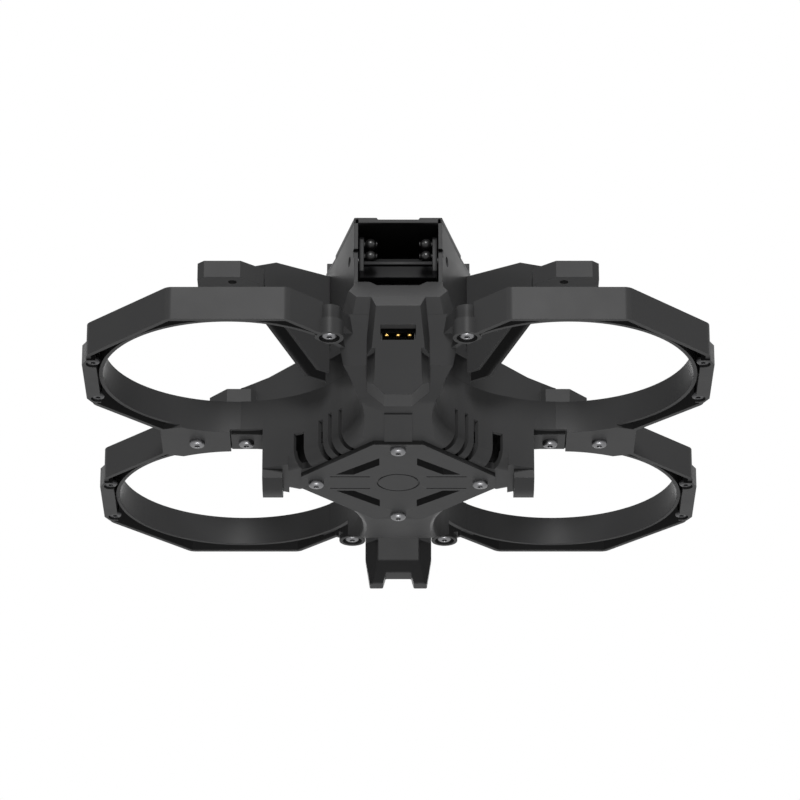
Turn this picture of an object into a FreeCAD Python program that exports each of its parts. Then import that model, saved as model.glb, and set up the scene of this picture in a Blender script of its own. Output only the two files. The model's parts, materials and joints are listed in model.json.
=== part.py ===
import FreeCAD, Part
import math
import operator
import os
import Sketcher

# Airframe of a small ducted racing quadcopter, as a kit of moulded pieces. Millimetres, +Z up, the nose
# points along -Y, and the origin lies on the ground below the centre of the four ducts.

DRIVING_SIZES = {
    # ducts and prop guards
    "duct_x": 42.7,             # duct centre, sideways from the middle plane
    "duct_y": 39.2,             # duct centre, fore and aft of the middle
    "bore_radius": 33.0,        # inside of a duct
    "duct_floor": 15.8,         # height of the lower edge of a duct's inner wall
    "guard_room": 3.5,          # from the bore to a flat side of the octagonal guard
    "guard_skin": 1.2,          # outer wall and roof of a guard
    "inner_skin": 1.0,          # inner wall of a guard
    "skirt": 0.9,               # how far the outer wall hangs below the inner one
    "guard_height": 8.9,        # outer wall, from its lower edge to the roof
    "corner_round": 3.0,        # outer corners of the octagon
    # lower tub; _in and _out are measured from a duct centre, inwards or outwards
    "belly_height": 4.4,        # underside of the tub floor
    "floor_skin": 1.8,
    "duct_wall": 1.2,           # inner duct walls that belong to the tub
    "flare": 4.1,               # rounding where a duct wall turns into the belly
    "neck_in": 27.7,            # half width of the neck, fore and aft
    "tub_out": 16.1,            # front or rear face
    "tub_slope_top": 11.6,      # where the end faces turn into the slope underneath
    "tub_slope_low": 6.4,
    "tub_slope_run": 10.0,
    "belly_flat": 25.2,         # half length of the flat belly
    "wing_in": 1.3,             # outer end of the wedge between a front and a rear duct
    "foot_in": 9.7,
    "foot_width": 5.3,
    "foot_depth": 13.0,
    "tab_out": 1.3,             # outer end of the tab that carries the middle guard
    "tab_width": 9.2,
    "tab_skin": 1.8,
    # belly plate
    "plate_low": 3.2,           # underside of the belly plate
    "plate_margin": 3.1,        # from a screw to the edge of the plate
    "stack_pitch": 30.5,        # square pattern of the electronics screws, turned by 45 degrees
    # upper shell
    "shell_top": 53.0,
    "shell_skin": 1.6,
    "flank_in": 23.7,           # from a duct centre in to the shell's side wall
    "flank_reach": 20.0,        # fore and aft end of the straight flank
    "face_half": 11.3,          # half width of the front face, at the camera bay
    "face_in": 2.3,             # from the tub's front face back to the bay's front
    "rear_half": 13.0,
    "rear_in": 9.3,             # from the tub's rear face to the shell's
    "prop_roof": 31.0,          # up to here the shell keeps out of the duct bores
    # camera bay
    "bay_half": 10.3,
    "bay_height": 18.8,
    "bay_depth": 22.0,
    "hood_skin": 1.6,
    "pivot_in": 5.5,            # from the bay's front back to the tilt axis
    "pivot_drop": 8.5,          # from the shell's top down to the tilt axis
    "pin_radius": 1.3,
    # front fascia and nose
    "fascia_half": 15.6,
    "fascia_face_half": 10.6,
    "lip_drop": 6.2,            # height of the 45 degree lip under the camera bay
    "lip_depth": 2.1,           # top of the lip, in front of the bay
    "nose_half": 7.9,
    "nose_face_half": 5.6,
    "nose_proud": 4.7,          # how far the nose stands forward of the fascia, at its top
    "toe_out": 2.7,             # lower front edge of the nose, from the tub's front face
    "heel_in": 4.7,             # rear end of its underside
    "nose_low": 2.3,
    "slot_half": 4.45,
    "slot_low": 15.2,
    "slot_high": 18.8,
    # arms and motor pods
    "arm_axis": 7.6,            # an arm's line meets the middle plane this far from the centre
    "arm_width": 6.0,
    "arm_skin": 0.9,
    "arm_drop": 1.2,            # from the shell's top down to the root of an arm's ridge
    "front_fall": 1.15,         # fall of the ridge from the root to the pod
    "rear_fall": 4.3,
    "pod_drop": 13.1,           # from the shell's top down to the pod
    "pod_thick": 4.7,
    "pod_crest": 2.3,           # height of the ridge that carries on over the pod
    "pod_out": 9.0,             # from a motor's axis to the outer sides of its pod
    "pod_in": 8.0,              # and to the inner sides
    "motor_circle": 12.0,
    # tail
    "skid_half": 9.1,
    "skid_notch_half": 4.5,
    "skid_notch": 3.0,
    "skid_out": 9.2,            # from the tub's rear face to the skid's foot
    "skid_thick": 4.0,
    # guard clamps and fasteners
    "front_clamp_off": 2.85,    # from a duct's bore to a clamp screw, towards the middle
    "rear_clamp_off": 8.51,
    "ear_radius": 3.6,
    "lug_radius": 2.9,
    "ear_low": 16.4,
    "ear_skin": 2.8,
    "screw_radius": 1.0,
    "head_radius": 2.05,
    "head_thick": 1.3,
    "insert_radius": 1.6,
    "tab_screw_in": 2.6,
    "bridge_screw_out": 10.4,
    "bridge_out": 19.8,
    "tip_half": 13.0,           # half length of a tip connector
    "tip_proud": 1.3,
    "tip_height": 5.0,
    "tip_screw_y": 10.6,
    # electronics and battery side
    "board_side": 36.0,
    "board_thick": 1.6,
    "post_height": 2.8,
    "grommet_thick": 1.5,
    "deck_skin": 1.6,
    "rail_height": 3.0,
    "pad_thick": 1.0,
    "latch_out": 3.5,           # end of the latch, behind the shell
    "gap": 0.3,                 # between pieces that move past each other
    "fit": 0.05,                # running fit, on the radius
}

SHEET_LABEL = "Sizes"
FAR = 70.0                      # reach of a cutting tool that has no size of its own


class Size:
    """A length that knows its number and the spreadsheet formula it comes from."""

    def __init__(self, number, formula=None):
        self.number = float(number)
        self.formula = formula or f"{float(number):g}"

    def _with(self, other, sign, work, swap=False):
        other = other if isinstance(other, Size) else Size(other)
        left, right = (other, self) if swap else (self, other)
        return Size(work(left.number, right.number), f"({left.formula} {sign} {right.formula})")

    def __add__(self, other):
        return self._with(other, "+", operator.add)

    def __radd__(self, other):
        return self._with(other, "+", operator.add, swap=True)

    def __sub__(self, other):
        return self._with(other, "-", operator.sub)

    def __rsub__(self, other):
        return self._with(other, "-", operator.sub, swap=True)

    def __mul__(self, other):
        return self._with(other, "*", operator.mul)

    def __rmul__(self, other):
        return self._with(other, "*", operator.mul, swap=True)

    def __truediv__(self, other):
        return self._with(other, "/", operator.truediv)

    def __neg__(self):
        return 0 - self


def size(value):
    return value if isinstance(value, Size) else Size(value)


class Sheet:
    """The driving dimensions, each readable as an attribute that is a Size."""

    def __init__(self, document):
        cells = document.addObject("Spreadsheet::Sheet", SHEET_LABEL)
        for row, (alias, number) in enumerate(DRIVING_SIZES.items(), start=1):
            cells.set(f"A{row}", alias)
            cells.set(f"B{row}", f"{number:g}")
            cells.setAlias(f"B{row}", alias)
            setattr(self, alias, Size(number, f"{SHEET_LABEL}.{alias}"))


doc = FreeCAD.newDocument("racing_drone_airframe")
D = Sheet(doc)
doc.recompute()
SUB_PARTS = []
SEAM = 0.1                       # fixed pieces stand this far apart where they don't touch flat

D.guard_apothem = D.bore_radius + D.guard_room
D.tub_length = D.duct_y + D.tub_out
D.flank = D.duct_x - D.flank_in     # half width of the shell between the arms
D.wing_reach = D.duct_x - D.wing_in
D.foot_x = D.duct_x - D.foot_in
D.tab_end = D.duct_x + D.tab_out
D.tab_screw_x = D.duct_x - D.tab_screw_in
D.bridge_screw_x = D.duct_x + D.bridge_screw_out
D.bridge_end = D.duct_x + D.bridge_out
D.skid_y = D.tub_length + D.skid_out
D.face_y = D.tub_length - D.face_in
D.bay_back = D.face_y - D.bay_depth
D.pivot_y = D.face_y - D.pivot_in
D.rear_y = D.tub_length - D.rear_in
D.latch_y = D.rear_y + D.latch_out
D.nose_toe = D.tub_length + D.toe_out
D.nose_heel = D.tub_length - D.heel_in
D.bay_floor = D.shell_top - D.bay_height
D.hood_top = D.shell_top + D.hood_skin
D.pivot_height = D.shell_top - D.pivot_drop
D.arm_top_root = D.shell_top - D.arm_drop
D.pod_low = D.shell_top - D.pod_drop
lip_low = D.bay_floor - D.lip_drop
lip_front = -D.face_y - D.lip_depth
face_front = lip_front - D.lip_drop
nose_lean = (-face_front - D.tub_length) / (lip_low - D.tub_slope_top)


# ---------------------------------------------------------------- building blocks

def bind(thing, prop, value):
    """Sets a property to a Size, by its formula."""
    thing.setExpression(prop, size(value).formula)


def place(thing, x=0, y=0, z=0, turn=0, axis=(0, 0, 1)):
    thing.Placement = FreeCAD.Placement(
        FreeCAD.Vector(size(x).number, size(y).number, size(z).number),
        FreeCAD.Rotation(FreeCAD.Vector(*axis), turn))
    for name, value in (("x", x), ("y", y), ("z", z)):
        bind(thing, f"Placement.Base.{name}", value)
    return thing


def box(name, x_from, x_to, y_from, y_to, z_from, z_to):
    made = doc.addObject("Part::Box", name)
    bind(made, "Length", size(x_to) - x_from)
    bind(made, "Width", size(y_to) - y_from)
    bind(made, "Height", size(z_to) - z_from)
    return place(made, x_from, y_from, z_from)


def rod(name, radius, x, y, z_from, z_to):
    made = doc.addObject("Part::Cylinder", name)
    bind(made, "Radius", radius)
    bind(made, "Height", size(z_to) - z_from)
    return place(made, x, y, z_from)


def cross_rod(name, radius, x_from, x_to, y, z):
    """A cylinder along X."""
    made = doc.addObject("Part::Cylinder", name)
    bind(made, "Radius", radius)
    bind(made, "Height", size(x_to) - x_from)
    return place(made, x_from, y, z, 90, (0, 1, 0))


def prism(name, sides, apothem, x, y, z_from, z_to):
    """A regular prism whose flats face the axes."""
    made = doc.addObject("Part::Prism", name)
    made.Polygon = sides
    bind(made, "Circumradius", size(apothem) / math.cos(math.pi / sides))
    bind(made, "Height", size(z_to) - z_from)
    return place(made, x, y, z_from, 180 / sides)


def draw_outline(sketch, corners):
    """Closes straight lines through the corners, each corner held by two driven distances."""
    corners = [(size(a), size(b)) for a, b in corners]
    count = len(corners)
    points = [FreeCAD.Vector(a.number, b.number, 0) for a, b in corners]
    for i in range(count):
        sketch.addGeometry(Part.LineSegment(points[i], points[(i + 1) % count]), False)
    for i in range(count):
        sketch.addConstraint(Sketcher.Constraint("Coincident", i, 2, (i + 1) % count, 1))
    for i, (a, b) in enumerate(corners):
        for kind, value in (("DistanceX", a), ("DistanceY", b)):
            index = sketch.addConstraint(Sketcher.Constraint(kind, -1, 1, i, 1, value.number))
            sketch.setExpression(f"Constraints[{index}]", value.formula)


def extrusion(name, corners, start, end, along="z"):
    """An outline pulled along an axis. Corners are (x, y) along z, (y, z) along x, (x, z) along y."""
    sketch = doc.addObject("Sketcher::SketchObject", f"{name}_outline")
    draw_outline(sketch, corners)
    if along == "z":
        place(sketch, 0, 0, start)
        direction = (0, 0, 1)
    elif along == "x":
        sketch.Placement = FreeCAD.Placement(FreeCAD.Vector(), FreeCAD.Rotation(
            FreeCAD.Vector(0, 1, 0), FreeCAD.Vector(0, 0, 1), FreeCAD.Vector(1, 0, 0), "ZXY"))
        bind(sketch, "Placement.Base.x", start)
        direction = (1, 0, 0)
    else:
        sketch.Placement = FreeCAD.Placement(FreeCAD.Vector(), FreeCAD.Rotation(
            FreeCAD.Vector(1, 0, 0), FreeCAD.Vector(0, 0, 1), FreeCAD.Vector(0, -1, 0), "ZXY"))
        bind(sketch, "Placement.Base.y", start)
        direction = (0, 1, 0)
    made = doc.addObject("Part::Extrusion", name)
    made.Base = sketch
    made.DirMode = "Custom"
    made.Dir = FreeCAD.Vector(*direction)
    bind(made, "LengthFwd", size(end) - start)
    made.Solid = True
    return made


def fuse(name, *shapes):
    made = doc.addObject("Part::MultiFuse", name)
    made.Shapes = list(shapes)
    made.Refine = True
    return made


def group(name, *shapes):
    made = doc.addObject("Part::Compound", name)
    made.Links = list(shapes)
    return made


def common(name, first, second):
    made = doc.addObject("Part::Common", name)
    made.Base = first
    made.Tool = second
    return made


def cut(name, base, *tools):
    made = doc.addObject("Part::Cut", name)
    made.Base = base
    made.Tool = tools[0] if len(tools) == 1 else group(f"{name}_tools", *tools)
    return made


def mirror(name, source, normal):
    made = doc.addObject("Part::Mirroring", name)
    made.Source = source
    made.Normal = FreeCAD.Vector(*normal)
    return made


def sub_part(thing, label):
    thing.Label = label
    SUB_PARTS.append(thing)
    return thing


def body(label):
    made = doc.addObject("PartDesign::Body", label)
    return sub_part(made, label)


def sketch_on(owner, role, name):
    plane = next(o for o in owner.Origin.OriginFeatures if o.Role == role)
    sketch = owner.newObject("Sketcher::SketchObject", name)
    sketch.AttachmentSupport = [(plane, "")]
    sketch.MapMode = "FlatFace"
    return sketch


def raise_sketch(sketch, height):
    bind(sketch, "AttachmentOffset.Base.z", height)


def pad(owner, name, corners, length, role="XY_Plane", start=0, both_ways=False):
    """Pads an outline, from start along the plane's normal, or both ways about it."""
    sketch = sketch_on(owner, role, f"{name}_sketch")
    draw_outline(sketch, corners)
    raise_sketch(sketch, start)
    made = owner.newObject("PartDesign::Pad", name)
    made.Profile = sketch
    made.SideType = "Symmetric" if both_ways else "One side"
    bind(made, "Length", length)
    doc.recompute()
    return made


def pocket(owner, name, corners, length, role="XY_Plane", start=0, both_ways=False):
    """Cuts an outline out, from start along the plane's normal, or both ways about it."""
    sketch = sketch_on(owner, role, f"{name}_sketch")
    draw_outline(sketch, corners)
    return finish_pocket(owner, name, sketch, length, start, both_ways)


def round_pocket(owner, name, circles, length, role="XY_Plane", start=0):
    """Cuts round holes out. Each circle is (x, y, radius)."""
    sketch = sketch_on(owner, role, f"{name}_sketch")
    for i, (x, y, radius) in enumerate([map(size, c) for c in circles]):
        sketch.addGeometry(Part.Circle(FreeCAD.Vector(x.number, y.number, 0),
                                       FreeCAD.Vector(0, 0, 1), radius.number), False)
        for kind, ends, value in (("DistanceX", (-1, 1, i, 3), x), ("DistanceY", (-1, 1, i, 3), y),
                                  ("Radius", (i,), radius)):
            index = sketch.addConstraint(Sketcher.Constraint(kind, *ends, value.number))
            sketch.setExpression(f"Constraints[{index}]", value.formula)
    return finish_pocket(owner, name, sketch, length, start, False)


def finish_pocket(owner, name, sketch, length, start, both_ways):
    raise_sketch(sketch, start)
    before = owner.Shape.Volume
    made = owner.newObject("PartDesign::Pocket", name)
    made.Profile = sketch
    made.SideType = "Symmetric" if both_ways else "One side"
    made.Reversed = not both_ways
    bind(made, "Length", length)
    doc.recompute()
    if not owner.Shape.Volume < before - 1e-6:
        raise RuntimeError(f"{owner.Label}: {name} cuts nothing")
    return made


def in_order(first, second):
    """The smaller of two sizes, then the larger."""
    return sorted((size(first), size(second)), key=lambda v: v.number)


def rectangle(x_from, x_to, y_from, y_to):
    return [(x_from, y_from), (x_to, y_from), (x_to, y_to), (x_from, y_to)]


def both_sides(name, source, left_label, right_label):
    """The left piece, and its mirror image on the right."""
    sub_part(source, left_label)
    return sub_part(mirror(name, source, (1, 0, 0)), right_label)


# ---------------------------------------------------------------- shared places

duct_wall_out = D.bore_radius + D.duct_wall
guard_low = D.duct_floor - D.skirt
guard_top = guard_low + D.guard_height
tub_floor = D.belly_height + D.floor_skin
ear_top = D.ear_low + D.ear_skin
diamond = D.stack_pitch / math.sqrt(2)
STACK_PLACES = ((0, -diamond), (diamond, 0), (0, diamond), (-diamond, 0))
FRONT_TURN, REAR_TURN = math.radians(44.9), math.radians(43.9)   # of the clamps about a duct
front_clamp, rear_clamp = D.bore_radius + D.front_clamp_off, D.bore_radius + D.rear_clamp_off
CLAMPS = {"front": (D.duct_x - front_clamp * math.cos(FRONT_TURN),
                    -D.duct_y - front_clamp * math.sin(FRONT_TURN)),
          "rear": (D.duct_x - rear_clamp * math.cos(REAR_TURN),
                   D.duct_y + rear_clamp * math.sin(REAR_TURN))}
neck = D.duct_x - D.neck_in
CORNERS = [(sx, sy) for sy in (-1, 1) for sx in (-1, 1)]


def duct_rods(name, radius, z_from, z_to):
    """The four duct bores, as cutting tools."""
    return group(name, *[rod(f"{name}_{i}", radius, sx * D.duct_x, sy * D.duct_y, z_from, z_to)
                         for i, (sx, sy) in enumerate(CORNERS)])


# ---------------------------------------------------------------- guards, left side

def guard_ring(end, sy):
    """The whole octagonal guard round a left duct: a channel open at the bottom."""
    name = f"ring_{end}"
    x, y = -D.duct_x, sy * D.duct_y
    outer = prism(f"{name}_outer", 8, D.guard_apothem, x, y, guard_low, guard_top)
    doc.recompute()
    rounded = doc.addObject("Part::Fillet", f"{name}_rounded")
    rounded.Base = outer
    corner = D.corner_round.number
    rounded.Edges = [(i, corner, corner) for i, edge in enumerate(outer.Shape.Edges, start=1)
                     if abs(edge.BoundBox.ZLength - D.guard_height.number) < 0.01]
    roof = guard_top - D.guard_skin
    hollow = cut(f"{name}_hollow",
                 prism(f"{name}_inside", 8, D.guard_apothem - D.guard_skin, x, y, guard_low, roof),
                 rod(f"{name}_core", D.bore_radius + D.inner_skin, x, y, guard_low, roof))
    return cut(name, rounded, hollow,
               rod(f"{name}_step", D.bore_radius + D.inner_skin, x, y, guard_low, D.duct_floor),
               rod(f"{name}_bore", D.bore_radius, x, y, guard_low, guard_top))


def tip_block(end, sy, name, spare=0.0):
    """The low block that joins two guards from below, at the outer side of a left duct."""
    side = -D.duct_x - D.guard_apothem
    x_out, x_in = side - D.tip_proud, -D.duct_x - D.bore_radius - D.inner_skin - 0.2 + spare
    y, reach = sy * D.duct_y, D.tip_half + spare
    drawn_in = reach - D.tip_proud * 2
    return extrusion(f"{name}_{end}", [
        (x_in, y - reach), (x_in, y + reach), (side, y + reach), (x_out, y + drawn_in),
        (x_out, y - drawn_in), (side, y - reach)], guard_low - 0.5, guard_low + D.tip_height + spare)


def ear(end, name, radius, z_from, z_to):
    x, y = CLAMPS[end]
    return rod(f"{name}_{end}", radius, -x, y, z_from, z_to)


RING = {"front": guard_ring("front", -1), "rear": guard_ring("rear", 1)}
HALF_BRIDGES = []
for end, sy in (("front", -1), ("rear", 1)):
    x, y = -D.duct_x, sy * D.duct_y
    clamp_x, clamp_y = CLAMPS[end]
    seam_x, seam_y = D.duct_x - clamp_x, clamp_y - y
    arc_zone = extrusion(f"arc_zone_{end}", [
        (x, y), (x + seam_x * 2, y + seam_y * 2), (x, y + sy * FAR), (x - FAR, y + sy * FAR),
        (x - FAR, y)], 0, FAR)
    arc = common(f"arc_{end}", RING[end], arc_zone)
    cup = ear(end, "ear_cup", D.ear_radius, guard_low, ear_top)
    web = extrusion(f"ear_web_{end}", [
        (x + seam_x * along + seam_y * across * sy, y + seam_y * along - seam_x * across * sy)
        for along, across in ((0.84, 0.0), (1.0, 0.0), (1.0, -0.07), (0.84, -0.12))], D.ear_low, ear_top)
    with_ear = fuse(f"arc_ear_{end}", arc, web, cup)
    guard = cut(f"guard_{end}_left", with_ear,
                rod(f"ear_bore_{end}", D.bore_radius, x, y, 0, FAR),
                ear(end, "ear_hole", D.screw_radius + 0.1, 0, FAR),
                ear(end, "head_room", D.ear_radius - D.guard_skin * 0.8, 0, D.ear_low),
                ear(end, "lug_room", D.lug_radius + 0.2, ear_top, FAR),
                tip_block(end, sy, "tip_room", SEAM))
    both_sides(f"guard_{end}_right", guard, f"guard_{end}_left", f"guard_{end}_right")

    half_zone = box(f"half_zone_{end}", x - FAR, -D.wing_reach,
                    *in_order(y - sy * SEAM, 0), 0, FAR)
    HALF_BRIDGES.append(cut(f"half_bridge_{end}", common(f"half_ring_{end}", RING[end], half_zone),
                            tip_block(end, sy, "half_tip_room", SEAM)))

bridge_half = D.duct_y + D.bridge_out + 0.6 - D.guard_apothem * math.sqrt(2)
bridge_floor = cut(
    "bridge_floor",
    extrusion("bridge_slab", [
        (-D.bridge_end, -bridge_half), (-D.tab_end - D.gap, -D.tip_half),
        (-D.tab_end - D.gap, D.tip_half), (-D.bridge_end, bridge_half)],
        guard_low, guard_low + D.tab_skin),
    rod("bridge_bore_front", D.bore_radius, -D.duct_x, -D.duct_y, 0, FAR),
    rod("bridge_bore_rear", D.bore_radius, -D.duct_x, D.duct_y, 0, FAR))
tongue_low = guard_low + D.tab_skin + SEAM
tongue_half = D.tab_width / 2 - 1.0
tongue = box("tongue", -D.tab_end - 4, -D.tab_screw_x + 3, -tongue_half, tongue_half,
             tongue_low, tongue_low + 2.4)
tongue_root = box("tongue_root", -D.tab_end - 4, -D.tab_end - D.gap, -tongue_half, tongue_half,
                  guard_low, tongue_low + 2.4)
bridge_boss = rod("bridge_boss", D.insert_radius + 1.2, -D.bridge_screw_x, 0, guard_low,
                  guard_low + 5)
middle = cut(
    "guard_middle_left",
    fuse("middle_solid", *HALF_BRIDGES, bridge_floor, tongue, tongue_root, bridge_boss),
    box("tab_room", -D.tab_end - D.gap, -D.foot_x, -D.tab_width / 2 - SEAM, D.tab_width / 2 + SEAM,
        0, guard_low + D.tab_skin + SEAM),
    rod("tab_screw_way", D.screw_radius + 0.02, -D.tab_screw_x, 0, 0, FAR),
    rod("bridge_screw_way", D.screw_radius + 0.1, -D.bridge_screw_x, 0, 0, FAR),
    rod("bridge_insert_seat", D.insert_radius, -D.bridge_screw_x, 0, guard_low + D.tab_skin, FAR))
both_sides("middle_right", middle, "guard_middle_left", "guard_middle_right")

tip_head_radius = D.head_radius - 0.3
tip_seat = 0.9                   # from the guards' lower edge up to the seat of a tip screw
for end, sy in (("front", -1), ("rear", 1)):
    y = sy * D.duct_y
    screw_x = -D.duct_x - D.guard_apothem + D.guard_skin + 0.4
    holes = [rod(f"tip_hole_{end}_{k}", D.screw_radius + 0.02, screw_x, y + k * D.tip_screw_y, 0, FAR)
             for k in (-1, 1)]
    sinks = [rod(f"tip_sink_{end}_{k}", tip_head_radius + SEAM, screw_x, y + k * D.tip_screw_y,
                 0, guard_low + tip_seat) for k in (-1, 1)]
    block = cut(f"tip_connector_{end}_left", tip_block(end, sy, "tip_block"), *holes, *sinks)
    both_sides(f"tip_{end}_right", block, f"tip_connector_{end}_left", f"tip_connector_{end}_right")


# ---------------------------------------------------------------- lower tub

def tub_profile(inset):
    """Side view of the tub, (y, z), drawn in by a skin. The front face leans forward."""
    end, low, top = D.tub_length - inset, D.belly_height + inset, guard_top + 1
    slope_top, slope_low = D.tub_slope_top + inset, D.tub_slope_low + inset
    knee = D.tub_length - D.tub_slope_run
    lean = (top - slope_top) * nose_lean
    return [(-end - lean, top), (-end, slope_top), (-knee, slope_low), (-D.belly_flat, low),
            (D.belly_flat, low), (knee, slope_low), (end, slope_top), (end, top)]


def flares(name, rounding):
    """Rings that round the edge between each duct wall and the belly, up to the feet."""
    centre_radius, height = D.bore_radius + D.flare, D.belly_height + D.flare
    rings = []
    for i, (sx, sy) in enumerate(CORNERS):
        x, y = sx * D.duct_x, sy * D.duct_y
        torus = doc.addObject("Part::Torus", f"{name}_torus_{i}")
        bind(torus, "Radius1", centre_radius)
        bind(torus, "Radius2", rounding)
        place(torus, x, y, height)
        rings.append(cut(f"{name}_ring_{i}", rod(f"{name}_disc_{i}", centre_radius, x, y, 0, height), torus))
    reach = D.foot_x - D.foot_width / 2 - 1.5
    return common(name, group(f"{name}_rings", *rings),
                  box(f"{name}_zone", -reach, reach, -FAR, FAR, 0, height))


def tub_block(name, inset, top, radius, rounding):
    """What lies between the four bores, within the plan and the side view."""
    narrow, half, deep = neck - inset, D.tub_length + FAR / 4, D.foot_x + D.foot_width / 2 - inset
    shoulder, wing = D.duct_y - 9.2, 8.0
    plan = extrusion(f"{name}_plan", [
        (-narrow, -half), (narrow, -half), (narrow, -shoulder), (deep, -wing), (deep, wing),
        (narrow, shoulder), (narrow, half), (-narrow, half), (-narrow, shoulder), (-deep, wing),
        (-deep, -wing), (-narrow, -shoulder)], 0, top)
    side = extrusion(f"{name}_side", tub_profile(inset), -FAR, FAR, along="x")
    return cut(name, common(f"{name}_solid", plan, side),
               duct_rods(f"{name}_bores", radius, 0, FAR), flares(f"{name}_flare", rounding))


def wall_zone(end, sx, sy):
    """The inner side of a duct, where the tub carries the wall."""
    x, y = sx * D.duct_x, sy * D.duct_y
    clamp_x, clamp_y = CLAMPS[end]
    seam_x, seam_y = D.duct_x - clamp_x, clamp_y - y
    inward = sx * (D.duct_x - D.wing_reach)
    return extrusion(f"wall_zone_{end}_{sx}", [
        (x, y), (x - sx * seam_x * 2, y + seam_y * 2), (x - sx * FAR, y + seam_y), (x - sx * FAR, 0 * y),
        (x - inward, 0 * y), (x - inward, y)], D.duct_floor, guard_top)


tub_outer = tub_block("tub_outer", 0, guard_top, D.bore_radius, D.flare)
tub_cavity = tub_block("tub_cavity", D.floor_skin, FAR, duct_wall_out, D.flare - D.floor_skin)
WALLS = []
for end, sy in (("front", -1), ("rear", 1)):
    for sx in (-1, 1):
        x, y = sx * D.duct_x, sy * D.duct_y
        sleeve = cut(f"sleeve_{end}_{sx}",
                     rod(f"sleeve_out_{end}_{sx}", duct_wall_out, x, y, D.duct_floor, guard_top),
                     rod(f"sleeve_in_{end}_{sx}", D.bore_radius, x, y, D.duct_floor, guard_top))
        WALLS.append(common(f"duct_wall_{end}_{sx}", sleeve, wall_zone(end, sx, sy)))

LUGS, EAR_ROOMS, LUG_SEATS = [], [], []
lug_top = guard_top - 0.8
for end, (clamp_x, clamp_y) in CLAMPS.items():
    root = (D.tub_length - 1) * (-1 if end == "front" else 1)
    for sx in (-1, 1):
        name = f"{end}_{sx}"
        LUGS += [rod(f"lug_{name}", D.lug_radius, sx * clamp_x, clamp_y, ear_top, lug_top),
                 extrusion(f"lug_web_{name}", [
                     (sx * (clamp_x + 1.2), clamp_y), (sx * (clamp_x - 2.7), clamp_y),
                     (sx * (neck - 5.4), root), (sx * (neck - 1), root)], ear_top, lug_top)]
        EAR_ROOMS.append(rod(f"ear_room_{name}", D.ear_radius + 0.2, sx * clamp_x, clamp_y, 0,
                             ear_top))
        LUG_SEATS.append(rod(f"lug_seat_{name}", D.insert_radius, sx * clamp_x, clamp_y, 0, FAR))

foot_flat, foot_chamfer = 2.5, 1.8
feet = [extrusion(f"foot_{sx}", [
    (-D.foot_depth / 2, tub_floor + 4), (-D.foot_depth / 2, foot_chamfer), (-foot_flat, 0), (foot_flat, 0),
    (D.foot_depth / 2, foot_chamfer), (D.foot_depth / 2, tub_floor + 4)],
    sx * D.foot_x - D.foot_width / 2, sx * D.foot_x + D.foot_width / 2, along="x") for sx in (-1, 1)]
tabs = [box(f"tab_{sx}", *in_order(sx * D.tab_end, sx * (D.foot_x + 1)),
            -D.tab_width / 2, D.tab_width / 2, guard_low, guard_low + D.tab_skin) for sx in (-1, 1)]
posts = [rod(f"post_{i}", D.screw_radius + 2, x, y, D.belly_height, tub_floor + D.post_height)
         for i, (x, y) in enumerate(STACK_PLACES)]

# cooling slots, radial to a duct: angle from the inward X direction, width, top edge
SLOTS = ((59.6, 3.1, 12.8), (47.2, 1.6, 14.6), (41.1, 1.4, 15.4), (33.3, 1.5, 15.0))
slot_near, slot_far = D.bore_radius - 1, D.bore_radius + D.flare + 0.4
slot_tools = []
for i, (angle, width, top) in enumerate(SLOTS):
    cosine, sine = math.cos(math.radians(angle)), math.sin(math.radians(angle))
    for sx, sy in CORNERS:
        corners = [(sx * (D.duct_x - radius * cosine + side * sine),
                    sy * (D.duct_y - radius * sine - side * cosine))
                   for radius, side in ((slot_near, -width / 2), (slot_far, -width / 2),
                                        (slot_far, width / 2), (slot_near, width / 2))]
        slot_tools.append(extrusion(f"slot_{i}_{sx}_{sy}", corners, 0, top))

WINDOW = ((4.9, 11.5), (4.9, 16.0), (16.4, 5.3), (11.7, 5.3))    # one cut-out of the diamond
window_tools = [extrusion(f"window_{sx}_{sy}", [(sx * a, sy * b) for a, b in WINDOW], 0,
                          tub_floor + 0.5) for sx, sy in CORNERS]
buttress_end = -D.tub_length + D.tub_slope_run + 6.5
buttress = extrusion("buttress", [
    (buttress_end, D.tub_slope_low + 1), (buttress_end, D.tub_slope_low - 1),
    (-D.belly_flat, D.plate_low + 0.6), (-D.belly_flat, tub_floor)], -3.6, 3.6, along="x")
stack_holes = [rod(f"stack_hole_{i}", D.screw_radius + 0.15, x, y, 0, FAR)
               for i, (x, y) in enumerate(STACK_PLACES)]
port_room = 0.6                  # round the contact block
port_window = box("port_window", -D.slot_half - port_room, D.slot_half + port_room, -FAR,
                  -D.tub_length + D.floor_skin + 1, D.slot_low - 0.8, D.slot_high + 1.2)
tab_holes = [rod(f"tab_hole_{sx}", D.screw_radius + 0.1, sx * D.tab_screw_x, 0, 0, FAR)
             for sx in (-1, 1)]

tub_shell = cut("tub_shell", tub_outer, tub_cavity)
tub_whole = fuse("tub_whole", tub_shell, *WALLS, *LUGS, *feet, *tabs, *posts, buttress)
tub = cut("lower_tub", tub_whole, duct_rods("tub_bores", D.bore_radius, 0, FAR), *EAR_ROOMS,
          *LUG_SEATS, *slot_tools, *window_tools, *stack_holes, port_window, *tab_holes)
sub_part(tub, "lower_tub")


# ---------------------------------------------------------------- belly plate

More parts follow.
